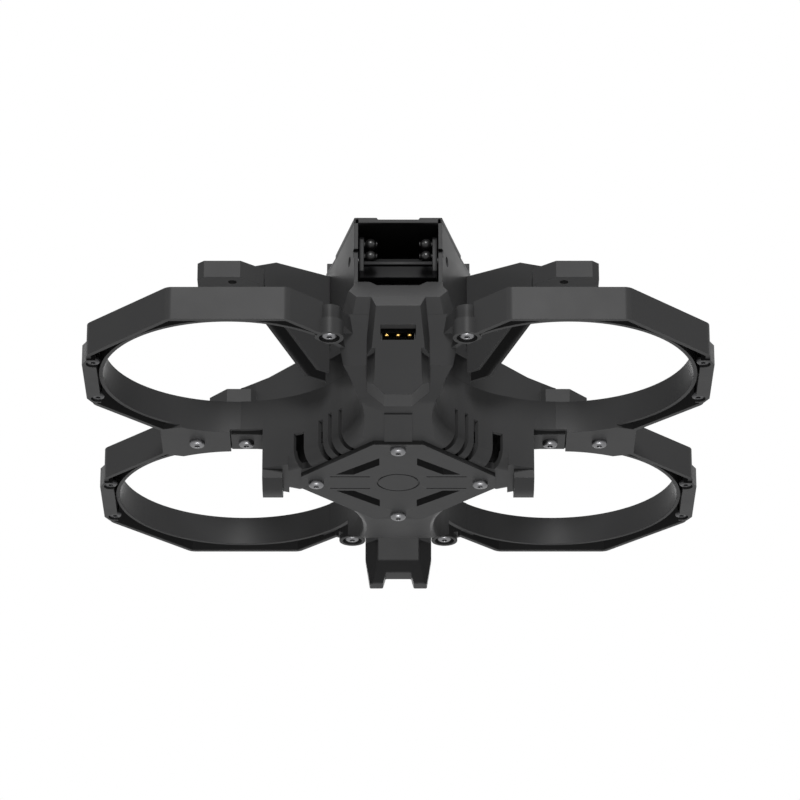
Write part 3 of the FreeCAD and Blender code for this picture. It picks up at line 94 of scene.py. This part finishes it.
@dataclass(frozen=True)
class Finish:
    """A surface, as a procedural material on Object coordinates.

    Attributes:
        name: material name.
        colour: linear base colour.
        roughness: middle roughness.
        metallic: 0 for plastic and rubber, 1 for metal.
        specular: specular level of the surface.
        tint: how far the colour drifts over the piece, as a share of itself.
        drift: size of that drift, in metres.
        grain: size of the moulded or ground texture, in metres.
        depth: height of that texture, in metres.
        gloss_drift: how far the roughness wanders.
    """

    name: str
    colour: tuple[float, float, float]
    roughness: float = 0.5
    metallic: float = 0.0
    specular: float = 0.5
    tint: float = 0.12
    drift: float = 0.02
    grain: float = 0.0003
    depth: float = 0.00001
    gloss_drift: float = 0.06

    def material(self) -> bpy.types.Material:
        """Builds the material, or returns the one already built.

        Returns:
            The Blender material of this finish.
        """
        if self.name in MADE_FINISHES:
            return MADE_FINISHES[self.name]
        made = bpy.data.materials.new(f"finish_{self.name}")
        MADE_FINISHES[self.name] = made
        made.use_nodes = True
        tree = made.node_tree
        shader = tree.nodes["Principled BSDF"]
        socket(shader, "Metallic").default_value = self.metallic
        socket(shader, "Specular IOR Level").default_value = self.specular
        place = tree.nodes.new("ShaderNodeTexCoord").outputs["Object"]
        self._colour(tree, shader, place)
        self._gloss(tree, shader, place)
        self._texture(tree, shader, place)
        return made

    def _noise(self, tree: bpy.types.NodeTree, place: bpy.types.NodeSocket, size: float,
               detail: float) -> bpy.types.NodeSocket:
        """Adds a noise whose features have that size.

        Args:
            tree: node tree to add to.
            place: output that gives the coordinates.
            size: feature size in metres.
            detail: octaves of the noise.

        Returns:
            The noise's output.
        """
        noise = tree.nodes.new("ShaderNodeTexNoise")
        socket(noise, "Scale").default_value = 1.0 / size
        socket(noise, "Detail").default_value = detail
        tree.links.new(place, socket(noise, "Vector"))
        return noise.outputs["Fac"]

    def _colour(self, tree: bpy.types.NodeTree, shader: bpy.types.Node,
                place: bpy.types.NodeSocket) -> None:
        """Lets the colour drift a little over the piece.

        Args:
            tree: node tree to add to.
            shader: shader that gets the colour.
            place: output that gives the coordinates.
        """
        ramp = tree.nodes.new("ShaderNodeValToRGB")
        low, high = ramp.color_ramp.elements
        low.position, high.position = NOISE_LOW, NOISE_HIGH
        low.color = (*[c * (1 - self.tint) for c in self.colour], 1)
        high.color = (*[c * (1 + self.tint) for c in self.colour], 1)
        tree.links.new(self._noise(tree, place, self.drift, COLOUR_DETAIL), socket(ramp, "Fac"))
        tree.links.new(ramp.outputs["Color"], socket(shader, "Base Color"))

    def _gloss(self, tree: bpy.types.NodeTree, shader: bpy.types.Node,
               place: bpy.types.NodeSocket) -> None:
        """Lets the roughness wander, as handled plastic and metal do.

        Args:
            tree: node tree to add to.
            shader: shader that gets the roughness.
            place: output that gives the coordinates.
        """
        dull = max(LEAST_ROUGHNESS, self.roughness - self.gloss_drift)
        spread = tree.nodes.new("ShaderNodeMapRange")
        socket(spread, "From Min").default_value = NOISE_LOW
        socket(spread, "From Max").default_value = NOISE_HIGH
        socket(spread, "To Min").default_value = dull
        socket(spread, "To Max").default_value = min(1.0, self.roughness + self.gloss_drift)
        noise = self._noise(tree, place, self.drift * GLOSS_SCALE, GLOSS_DETAIL)
        tree.links.new(noise, socket(spread, "Value"))
        tree.links.new(spread.outputs["Result"], socket(shader, "Roughness"))

    def _texture(self, tree: bpy.types.NodeTree, shader: bpy.types.Node,
                 place: bpy.types.NodeSocket) -> None:
        """Adds the fine texture of the mould or the tool.

        Args:
            tree: node tree to add to.
            shader: shader that gets the texture.
            place: output that gives the coordinates.
        """
        bump = tree.nodes.new("ShaderNodeBump")
        socket(bump, "Strength").default_value = 1.0
        socket(bump, "Distance").default_value = self.depth
        grain = self._noise(tree, place, self.grain, GRAIN_DETAIL)
        tree.links.new(grain, socket(bump, "Height"))
        tree.links.new(bump.outputs["Normal"], socket(shader, "Normal"))


FRAME_PLASTIC = Finish("frame_plastic", (0.037, 0.037, 0.0375), roughness=0.42, specular=0.06,
                       tint=0.06, drift=0.03, gloss_drift=0.02)
GUARD_PLASTIC = Finish("guard_plastic", (0.037, 0.037, 0.0375), roughness=0.40, specular=0.07,
                       tint=0.06, drift=0.03, gloss_drift=0.02)
SATIN_PLASTIC = Finish("satin_plastic", (0.016, 0.016, 0.0165), roughness=0.32, specular=0.12)
DARK_DETAIL = Finish("dark_detail", (0.009, 0.009, 0.0095), roughness=0.42, specular=0.1,
                     gloss_drift=0.03)
STEEL = Finish("dulled_steel", (0.165, 0.165, 0.17), roughness=0.38, metallic=1.0, tint=0.06,
               grain=0.0002, depth=0.000002)
BLACK_STEEL = Finish("black_oxide", (0.030, 0.030, 0.032), roughness=0.34, metallic=0.3,
                     specular=0.4)
BRASS = Finish("knurled_brass", (0.46, 0.31, 0.11), roughness=0.34, metallic=1.0, tint=0.08)
GOLD = Finish("gold_plate", (0.42, 0.27, 0.08), roughness=0.3, metallic=1.0, tint=0.04)
RUBBER = Finish("soft_rubber", (0.008, 0.008, 0.008), roughness=0.3, specular=0.4)
FOAM = Finish("ribbed_grip", (0.012, 0.012, 0.0125), roughness=0.8, specular=0.2, grain=0.0006,
              depth=0.00006)
SOLDER_MASK = Finish("solder_mask", (0.005, 0.008, 0.014), roughness=0.3, specular=0.4,
                     tint=0.2)

SLOT_FINISH = {
    "frame_plastic": FRAME_PLASTIC, "guard_plastic": GUARD_PLASTIC,
    "connector_plastic": SATIN_PLASTIC, "gloss_detail": DARK_DETAIL, "steel": STEEL,
    "black_steel": BLACK_STEEL, "brass": BRASS, "gold_contacts": GOLD, "rubber": RUBBER,
    "grip_pad": FOAM, "circuit_board": SOLDER_MASK,
}


# ------------------------------------------------------------------ workshop


@dataclass(frozen=True)
class Moulding:
    """How the copy of a moulded node is rounded and shaded.

    Attributes:
        edge: width of the rounding, in millimetres.
        merge: whether flat faces are made one, which suits faces without holes in them.
        weighted: whether the large faces set the shading at the rounded edges.
        finish: a finish of its own, or None for the one of its slot.
    """

    edge: float
    merge: bool = True
    weighted: bool = True
    finish: Optional[Finish] = None


class Workshop:
    """Shared ways of making pieces: selection, operators and copies of moulded parts."""

    slots: dict[str, str] = {part["node"]: part["material_slot"]
                             for part in frame["record"]["subparts"]}
    bodies: dict[str, str] = {node: body
                              for body, nodes in frame["record"]["behaviour"]["bodies"].items()
                              for node in nodes}

    @staticmethod
    def clear() -> None:
        """Leaves nothing selected, in object mode."""
        if bpy.context.object and bpy.context.object.mode != "OBJECT":
            bpy.ops.object.mode_set(mode="OBJECT")
        bpy.ops.object.select_all(action="DESELECT")

    @classmethod
    def only(cls, piece: bpy.types.Object) -> None:
        """Makes a piece the one selected and active object.

        Args:
            piece: the object to select.
        """
        cls.clear()
        piece.select_set(True)
        bpy.context.view_layer.objects.active = piece

    @classmethod
    def modify(cls, piece: bpy.types.Object, kind: str, **settings: object) -> None:
        """Adds a modifier with its settings and applies it.

        Args:
            piece: the object to change.
            kind: type of the modifier.
            **settings: values of the modifier's properties.
        """
        cls.only(piece)
        modifier = piece.modifiers.new(kind.lower(), kind)
        for name, value in settings.items():
            setattr(modifier, name, value)
        bpy.ops.object.modifier_apply(modifier=modifier.name)

    @classmethod
    def pick_faces(cls, piece: bpy.types.Object,
                   wanted: Callable[[bpy.types.MeshPolygon], bool]) -> None:
        """Enters edit mode with just the wanted faces selected.

        Args:
            piece: the object to edit.
            wanted: says whether a face is selected.
        """
        cls.only(piece)
        bpy.ops.object.mode_set(mode="EDIT")
        bpy.ops.mesh.select_mode(type="FACE")
        bpy.ops.mesh.select_all(action="DESELECT")
        bpy.ops.object.mode_set(mode="OBJECT")
        for face in piece.data.polygons:
            face.select = wanted(face)
        bpy.ops.object.mode_set(mode="EDIT")

    @classmethod
    def settle(cls, piece: bpy.types.Object, smooth_under: float = 40) -> bpy.types.Object:
        """Puts a piece's place in its mesh and smooths its round faces.

        Args:
            piece: the object to settle.
            smooth_under: degrees between faces that shade as one round surface.

        Returns:
            The same piece.
        """
        cls.only(piece)
        bpy.ops.object.transform_apply(location=True, rotation=True, scale=True)
        bpy.ops.object.shade_smooth_by_angle(angle=math.radians(smooth_under))
        return piece

    @classmethod
    def join(cls, pieces: Sequence[bpy.types.Object], name: str) -> bpy.types.Object:
        """Joins pieces into one.

        Args:
            pieces: the objects to join, two or more.
            name: name of the joined piece.

        Returns:
            The joined piece.
        """
        cls.clear()
        for piece in pieces:
            piece.select_set(True)
        bpy.context.view_layer.objects.active = pieces[0]
        bpy.ops.object.join()
        pieces[0].name = name
        pieces[0].data.name = name
        return pieces[0]

    @staticmethod
    def copy_at(piece: bpy.types.Object, matrix: Matrix) -> bpy.types.Object:
        """Copies a piece to another place.

        Args:
            piece: the object to copy.
            matrix: the move and turn of the copy.

        Returns:
            The copy, with its own mesh.
        """
        twin = bpy.data.objects.new(piece.name, piece.data.copy())
        bpy.context.scene.collection.objects.link(twin)
        twin.data.transform(matrix)
        return twin

    @staticmethod
    def dress(piece: bpy.types.Object, finish: Finish, body: Body, slot: str,
              node: str) -> None:
        """Gives a piece its finish and its body, and hides the node it stands for.

        Args:
            piece: the finished mesh.
            finish: the finish it wears.
            body: the body it rides on.
            slot: the record's material slot; not used.
            node: the CAD node it replaces.
        """
        piece.data.materials.clear()
        piece.data.materials.append(finish.material())
        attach(piece, body.value)
        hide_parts(node)
        LOG.info("%s: %d faces on %s", piece.name, len(piece.data.polygons), body.value)

    @classmethod
    def moulded(cls, node: str, moulding: Moulding) -> None:
        """Makes a copy of a CAD node with rounded edges, which stands for the node.

        Args:
            node: name of the node.
            moulding: how the copy is rounded and shaded.
        """
        piece = bpy.data.objects.new(f"{node}_moulded", frame["nodes"][node].data.copy())
        bpy.context.scene.collection.objects.link(piece)
        mesh = bmesh.new()
        mesh.from_mesh(piece.data)
        bmesh.ops.remove_doubles(mesh, verts=mesh.verts, dist=WELD)
        if moulding.merge:
            bmesh.ops.dissolve_limit(mesh, angle_limit=FLAT_ANGLE, verts=mesh.verts,
                                     edges=mesh.edges, delimit=set())
        mesh.to_mesh(piece.data)
        mesh.free()
        cls.modify(piece, "BEVEL", width=moulding.edge * MM, segments=EDGE_STEPS,
                   limit_method="ANGLE", angle_limit=EDGE_ANGLE, use_clamp_overlap=True,
                   harden_normals=False, miter_outer="MITER_ARC")
        cls.settle(piece, MOULDED_SMOOTH)
        if moulding.weighted:
            cls.modify(piece, "WEIGHTED_NORMAL", weight=NORMAL_WEIGHT, keep_sharp=True)
        slot = cls.slots[node]
        cls.dress(piece, moulding.finish or SLOT_FINISH[slot], Body(cls.bodies[node]), slot,
                  node)


def islands(node: str) -> list[tuple[Vector, Vector]]:
    """The lowest and highest corner of each separate solid of a CAD node.

    Args:
        node: name of the node.

    Returns:
        One pair of corners per solid, in a steady order.
    """
    mesh = bmesh.new()
    mesh.from_mesh(frame["nodes"][node].data)
    bmesh.ops.remove_doubles(mesh, verts=mesh.verts, dist=WELD)
    left = set(mesh.verts)
    found = []
    while left:
        heap, group = [left.pop()], []
        while heap:
            vert = heap.pop()
            group.append(vert.co.copy())
            for edge in vert.link_edges:
                other = edge.other_vert(vert)
                if other in left:
                    left.discard(other)
                    heap.append(other)
        found.append((Vector(map(min, *group)), Vector(map(max, *group))))
    mesh.free()
    return sorted(found, key=lambda pair: tuple(round(c, PLACE_DIGITS)
                                                for c in (*pair[0], *pair[1])))


# ------------------------------------------------------------------ fasteners


@dataclass(frozen=True)
class ButtonScrew:
    """A button-head screw that hangs head down, with a hexagon socket.

    Attributes:
        head_radius: radius of the head.
        head: thickness of the head.
        shank_radius: radius of the shank.
        socket_radius: corner radius of the hexagon.
        socket_depth: depth of the hexagon, as a share of the head.
        dome: how far the rim of the head is rounded.
        chamfer: width and height of the chamfer at the shank's tip.
        edge: rounding of the sharp edges.
        sharp: least angle of an edge that is rounded, in degrees.
        sides: facets round the screw.
        dome_steps: steps of the head's rounded rim.
    """

    head_radius: float = 2.05 * MM
    head: float = 1.3 * MM
    shank_radius: float = 1.0 * MM
    socket_radius: float = 0.76 * MM
    socket_depth: float = 0.65
    dome: float = 0.85 * MM
    chamfer: float = 0.2 * MM
    edge: float = 0.05 * MM
    sharp: float = 50
    sides: int = 40
    dome_steps: int = 6

    def build(self, length: float) -> bpy.types.Object:
        """Models one screw with the top of its head at the origin.

        Args:
            length: length of the shank above the head, without its chamfer.

        Returns:
            The screw, unplaced.
        """
        Workshop.clear()
        bpy.ops.mesh.primitive_cylinder_add(vertices=self.sides, radius=self.head_radius,
                                            depth=self.head, location=(0, 0, -self.head / 2))
        screw = bpy.context.object
        Workshop.pick_faces(screw, lambda face: face.normal.z < -LEVEL)
        bpy.ops.mesh.bevel(offset=self.dome, segments=self.dome_steps, affect="EDGES")
        bpy.ops.object.mode_set(mode="OBJECT")
        Workshop.pick_faces(screw, lambda face: face.normal.z > LEVEL)
        bpy.ops.mesh.inset(thickness=self.head_radius - self.shank_radius)
        bpy.ops.mesh.extrude_region_move(TRANSFORM_OT_translate={"value": (0, 0, length)})
        bpy.ops.mesh.inset(thickness=self.chamfer)
        bpy.ops.transform.translate(value=(0, 0, self.chamfer))
        bpy.ops.object.mode_set(mode="OBJECT")
        bpy.ops.mesh.primitive_cylinder_add(vertices=6, radius=self.socket_radius,
                                            depth=2 * self.socket_depth * self.head,
                                            location=(0, 0, -self.head))
        key = bpy.context.object
        Workshop.modify(screw, "BOOLEAN", object=key, operation="DIFFERENCE", solver="EXACT")
        bpy.data.objects.remove(key)
        Workshop.modify(screw, "BEVEL", width=self.edge, segments=1, limit_method="ANGLE",
                        angle_limit=math.radians(self.sharp))
        return Workshop.settle(screw, MOULDED_SMOOTH)


@dataclass
class Fasteners:
    """All screws of the airframe, a piece per group.

    Attributes:
        screw: the steel screw of the tub, guards and plates.
        small: the black screw of the guards' tips.
        tip: how much of a shank is left to its chamfered tip.
        first_turn: turn of the first socket of a group, in degrees.
        turn_step: turn from each socket to the next, in degrees.
    """

    screw: ButtonScrew = ButtonScrew()
    small: ButtonScrew = ButtonScrew(head_radius=1.75 * MM, head=1.0 * MM,
                                     socket_radius=0.66 * MM, dome=0.55 * MM)
    tip: float = 0.25 * MM
    first_turn: float = 17
    turn_step: float = 41

    def build(self) -> None:
        """Makes each group of screws."""
        for node in ("stack_screws", "clamp_screws", "bridge_screws"):
            self._group(node, self.screw, "steel")
        self._group("tip_screws", self.small, "black_steel")

    def _group(self, node: str, kind: ButtonScrew, slot: str) -> None:
        """Makes one group of screws, turned so that no two sockets line up.

        Args:
            node: the CAD node of the group.
            kind: the screw that all of them are.
            slot: the record's material slot.
        """
        places = islands(node)
        lowest, highest = places[0]
        made = kind.build(highest.z - lowest.z - kind.head - self.tip)
        copies = []
        for i, (low, high) in enumerate(places):
            centre = (low + high) / 2
            turn = Matrix.Rotation(math.radians(self.first_turn + self.turn_step * i), 4, "Z")
            place = Matrix.Translation((centre.x, centre.y, low.z + kind.head))
            copies.append(Workshop.copy_at(made, place @ turn))
        bpy.data.objects.remove(made)
        piece = Workshop.join(copies, f"{node}_turned")
        Workshop.dress(piece, SLOT_FINISH[slot], Body.AIRFRAME, slot, node)


# ------------------------------------------------------------------ moulded pieces


@dataclass
class MouldedPieces:
    """Everything moulded or pressed whose CAD shape is the real one.

    Attributes:
        mouldings: how each node is rounded and shaded.
    """

    mouldings: dict[str, Moulding] = field(default_factory=lambda: {
        "guard_front_left": Moulding(0.35), "guard_front_right": Moulding(0.35),
        "guard_middle_left": Moulding(0.3), "guard_middle_right": Moulding(0.3),
        "guard_rear_left": Moulding(0.35), "guard_rear_right": Moulding(0.35),
        "tip_connector_front_left": Moulding(0.4), "tip_connector_front_right": Moulding(0.4),
        "tip_connector_rear_left": Moulding(0.4), "tip_connector_rear_right": Moulding(0.4),
        "lower_tub": Moulding(0.25), "belly_plate": Moulding(0.2, merge=False),
        "upper_shell": Moulding(0.25), "front_fascia": Moulding(0.12),
        "camera_hood": Moulding(0.25), "nose_cover": Moulding(0.15),
        "tail_skid": Moulding(0.3), "top_deck": Moulding(0.3),
        "arm_front_left": Moulding(0.35), "arm_front_right": Moulding(0.35),
        "arm_rear_left": Moulding(0.35), "arm_rear_right": Moulding(0.35),
        "camera_cradle": Moulding(0.2, weighted=False, finish=DARK_DETAIL),
        "battery_latch": Moulding(0.3), "contact_block": Moulding(0.15),
        "battery_contacts": Moulding(0.2), "flight_controller": Moulding(0.1),
    })

    def build(self) -> None:
        """Copies each node with its own rounding."""
        for node, moulding in self.mouldings.items():
            Workshop.moulded(node, moulding)


@dataclass
class DampingBalls:
    """Soft balls with a neck and a button at each end, along X.

    Every size is a share of half a ball's whole length.

    Attributes:
        belly: radius of the ball itself.
        cap: height above which the ball is flattened into its end.
        sink: how far that end is pushed in.
        neck: width of the end, as a share of the cap.
        neck_length: length of the neck.
        button: width of the button, as a share of the neck.
        button_length: thickness of the button.
        sides: facets round a ball.
        rings: facets from pole to pole.
        smooth_under: degrees between faces that shade as one round surface.
    """

    belly: float = 0.9
    cap: float = 0.72
    sink: float = 0.06
    neck: float = 0.72
    neck_length: float = 0.12
    button: float = 1.35
    button_length: float = 0.1
    sides: int = 32
    rings: int = 20
    smooth_under: float = 50

    def build(self) -> None:
        """Models each ball in its own box, and joins them."""
        upright = Matrix.Rotation(math.radians(90), 4, "Y")
        copies = []
        for low, high in islands("damping_balls"):
            ball = self._ball((high.x - low.x) / 2)
            ball.data.transform(Matrix.Translation((low + high) / 2) @ upright)
            copies.append(Workshop.settle(ball, self.smooth_under))
        piece = Workshop.join(copies, "damping_balls_soft")
        Workshop.dress(piece, RUBBER, Body.CAMERA, "rubber", "damping_balls")

    def _ball(self, half: float) -> bpy.types.Object:
        """Models one ball at the origin, upright.

        Args:
            half: half of its whole length.

        Returns:
            The ball, unplaced.
        """
        Workshop.clear()
        bpy.ops.mesh.primitive_uv_sphere_add(segments=self.sides, ring_count=self.rings,
                                             radius=half * self.belly)
        ball = bpy.context.object
        for side in (-1, 1):
            Workshop.pick_faces(
                ball, lambda face, side=side: face.center.z * side > half * self.cap)
            bpy.ops.transform.resize(value=(self.neck, self.neck, 0.0))
            bpy.ops.transform.translate(value=(0, 0, -side * half * self.sink))
            bpy.ops.mesh.extrude_region_move(
                TRANSFORM_OT_translate={"value": (0, 0, side * half * self.neck_length)})
            bpy.ops.transform.resize(value=(self.button, self.button, 1.0))
            bpy.ops.mesh.extrude_region_move(
                TRANSFORM_OT_translate={"value": (0, 0, side * half * self.button_length)})
            bpy.ops.object.mode_set(mode="OBJECT")
        return ball


@dataclass
class SmallParts:
    """Grommets, nuts, inserts, pins and contacts.

    Attributes:
        moulding: the fine rounding that they share.
        nodes: the node of each group.
    """

    moulding: Moulding = Moulding(0.12)
    nodes: tuple[str, ...] = ("stack_grommets", "stack_nuts", "threaded_inserts", "cradle_pins",
                              "latch_pin", "contact_pins", "battery_blades")

    def build(self) -> None:
        """Makes the small parts group by group."""
        for node in self.nodes:
            Workshop.moulded(node, self.moulding)


@dataclass
class BatteryPad:
    """The grip mat that the battery lies on: a thin foam sheet with raised ribs.

    Attributes:
        pitch: distance between ribs.
        rib: height of a rib.
        slope: how far a rib's sides lean in.
        edge: rounding of a rib.
        fill: how tight the pad is; not used.
    """

    pitch: float = 2.0 * MM
    rib: float = 0.35 * MM
    slope: float = 0.35 * MM
    edge: float = 0.1 * MM
    fill: float = 0.9

    def build(self) -> None:
        """Models the mat inside the box of its CAD solid."""
        low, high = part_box("battery_pad")
        centre, extent = (low + high) / 2, high - low
        Workshop.clear()
        bpy.ops.mesh.primitive_cube_add(
            size=1, location=(centre.x, centre.y, centre.z - self.rib / 2),
            scale=(extent.x, extent.y, extent.z - self.rib))
        mat = bpy.context.object
        bpy.ops.object.transform_apply(location=True, rotation=True, scale=True)
        Workshop.only(mat)
        bpy.ops.object.mode_set(mode="EDIT")
        rows = int(extent.y / self.pitch)
        for i in range(1, rows):
            bpy.ops.mesh.select_all(action="SELECT")
            bpy.ops.mesh.bisect(plane_co=(0, low.y + i * extent.y / rows, 0),
                                plane_no=(0, 1, 0))
        bpy.ops.object.mode_set(mode="OBJECT")
        Workshop.pick_faces(mat, lambda face: face.normal.z > LEVEL)
        bpy.ops.mesh.inset(thickness=self.slope, use_individual=True)
        bpy.ops.transform.translate(value=(0, 0, self.rib))
        bpy.ops.object.mode_set(mode="OBJECT")
        mat.name = "battery_pad_ribbed"
        Workshop.modify(mat, "BEVEL", width=self.edge, segments=1, limit_method="ANGLE")
        Workshop.settle(mat)
        Workshop.dress(mat, FOAM, Body.AIRFRAME, "grip_pad", "battery_pad")


# ------------------------------------------------------------------ studio


def combine(tree: bpy.types.NodeTree, operation: str, first: bpy.types.NodeSocket,
            second: bpy.types.NodeSocket, clamp: bool = False) -> bpy.types.NodeSocket:
    """Adds a Math node on two outputs.

    Args:
        tree: node tree to add to.
        operation: what the node works out.
        first: its first value.
        second: its second value.
        clamp: whether the result stays between 0 and 1.

    Returns:
        The node's output.
    """
    node = tree.nodes.new("ShaderNodeMath")
    node.operation = operation
    node.use_clamp = clamp
    tree.links.new(first, node.inputs[0])
    tree.links.new(second, node.inputs[1])
    return node.outputs[0]


@dataclass(frozen=True)
class SoftBox:
    """A square lamp that faces the airframe.

    Attributes:
        name: name of the lamp.
        place: where it stands.
        side: its side length.
        power: its power in watts.
    """

    name: str
    place: tuple[float, float, float]
    side: float
    power: float


@dataclass
class Studio:
    """Floor, lamps, world and camera.

    Attributes:
        reach: distance of the camera from its target.
        below: angle of the camera under the horizon, in degrees.
        target: point that the camera looks at.
        lens: focal length for the sensor.
        sensor: width of the sensor, in millimetres.
        near: nearest that the camera sees.
        far: farthest that the camera sees.
        ambient: level of the grey light from all round.
        floor_side: side length of the floor.
        floor_drop: how far the floor lies under the feet.
        floor_grey: colour of the floor.
        floor_roughness: roughness of the floor.
        floor_specular: specular level of the floor.
        aim: point that the lamps face.
        lamps: the soft boxes all round.
    """

    reach: float = 1.2123
    below: float = 24.42
    target: tuple[float, float, float] = (0.00046, -0.00425, 0.02516)
    lens: float = 206.4
    sensor: float = 36.0
    near: float = 0.05
    far: float = 20.0
    ambient: float = 0.04
    floor_side: float = 6.0
    floor_drop: float = 0.0002
    floor_grey: float = 0.86
    floor_roughness: float = 0.9
    floor_specular: float = 0.1
    aim: tuple[float, float, float] = (0.0, 0.0, 0.03)
    lamps: tuple[SoftBox, ...] = (
        SoftBox("lamp_front", (0.0, -1.18, 0.58), 0.35, 14.5),
        SoftBox("lamp_top", (0.0, -0.1, 1.4), 1.0, 8.0),
        SoftBox("lamp_left", (-1.2, -0.8, 0.4), 0.4, 2.2),
        SoftBox("lamp_right", (1.2, -0.8, 0.4), 0.4, 2.2),
        SoftBox("lamp_back", (0.0, 1.3, 0.6), 0.8, 4.0),
        SoftBox("lamp_low", (0.0, -0.4, -1.28), 0.3, 15.0))

    def build(self) -> None:
        """Sets up the whole studio."""
        self._world()
        self._floor()
        for lamp in self.lamps:
            self._lamp(lamp)
        self._camera()
        bpy.context.scene.view_settings.view_transform = "Standard"

    def _world(self) -> None:
        """White to the camera and in reflections, a soft grey light elsewhere."""
        world = bpy.data.worlds.new("studio_world")
        bpy.context.scene.world = world
        world.use_nodes = True
        tree = world.node_tree
        back = tree.nodes["Background"]
        socket(back, "Color").default_value = (1, 1, 1, 1)
        ray = tree.nodes.new("ShaderNodeLightPath").outputs
        seen = combine(tree, "MAXIMUM", ray["Is Camera Ray"], ray["Is Glossy Ray"])
        white = combine(tree, "MAXIMUM", seen, ray["Is Transmission Ray"])
        level = tree.nodes.new("ShaderNodeMapRange")
        socket(level, "To Min").default_value = self.ambient
        socket(level, "To Max").default_value = 1.0
        tree.links.new(white, socket(level, "Value"))
        tree.links.new(level.outputs["Result"], socket(back, "Strength"))

    def _floor(self) -> None:
        """A pale floor that shows from above only, and lets all other light through."""
        Workshop.clear()
        bpy.ops.mesh.primitive_plane_add(size=self.floor_side,
                                         location=(0, 0, -self.floor_drop))
        floor = bpy.context.object
        floor.name = "studio_floor"
        made = bpy.data.materials.new("pale_floor")
        made.use_nodes = True
        tree = made.node_tree
        shader = tree.nodes["Principled BSDF"]
        socket(shader, "Base Color").default_value = (*[self.floor_grey] * 3, 1)
        socket(shader, "Roughness").default_value = self.floor_roughness
        socket(shader, "Specular IOR Level").default_value = self.floor_specular
        clear = tree.nodes.new("ShaderNodeBsdfTransparent")
        side = tree.nodes.new("ShaderNodeNewGeometry").outputs["Backfacing"]
        ray = tree.nodes.new("ShaderNodeLightPath").outputs["Is Camera Ray"]
        shown = combine(tree, "SUBTRACT", ray, side, clamp=True)
        mix = tree.nodes.new("ShaderNodeMixShader")
        for place, output in enumerate((shown, clear.outputs[0], shader.outputs[0])):
            tree.links.new(output, mix.inputs[place])
        tree.links.new(mix.outputs[0], socket(tree.nodes["Material Output"], "Surface"))
        floor.data.materials.append(made)

    def _lamp(self, box: SoftBox) -> None:
        """Hangs one soft box.

        Args:
            box: its name, place, side length and power.
        """
        light = bpy.data.lights.new(box.name, "AREA")
        light.shape = "SQUARE"
        light.size = box.side
        light.energy = box.power
        lamp = bpy.data.objects.new(box.name, light)
        bpy.context.scene.collection.objects.link(lamp)
        lamp.location = box.place
        facing = Vector(self.aim) - Vector(box.place)
        lamp.rotation_euler = facing.to_track_quat("-Z", "Y").to_euler()

    def _camera(self) -> None:
        """A long lens, in front of the nose and below it."""
        angle = math.radians(self.below)
        toward = Vector((0, -math.cos(angle), -math.sin(angle)))
        lens = bpy.data.cameras.new("camera")
        lens.sensor_width = self.sensor
        lens.lens = self.lens
        lens.clip_start, lens.clip_end = self.near, self.far
        camera = bpy.data.objects.new("camera", lens)
        bpy.context.scene.collection.objects.link(camera)
        camera.location = Vector(self.target) + toward * self.reach
        camera.rotation_euler = (-toward).to_track_quat("-Z", "Y").to_euler()
        bpy.context.scene.camera = camera


def main() -> None:
    """Builds the pieces, then the studio."""
    logging.basicConfig(level=logging.INFO, format="%(name)s %(message)s")
    for maker in (MouldedPieces(), DampingBalls(), SmallParts(), BatteryPad(), Fasteners(),
                  Studio()):
        maker.build()
    Workshop.clear()


if __name__ == "__main__":
    main()
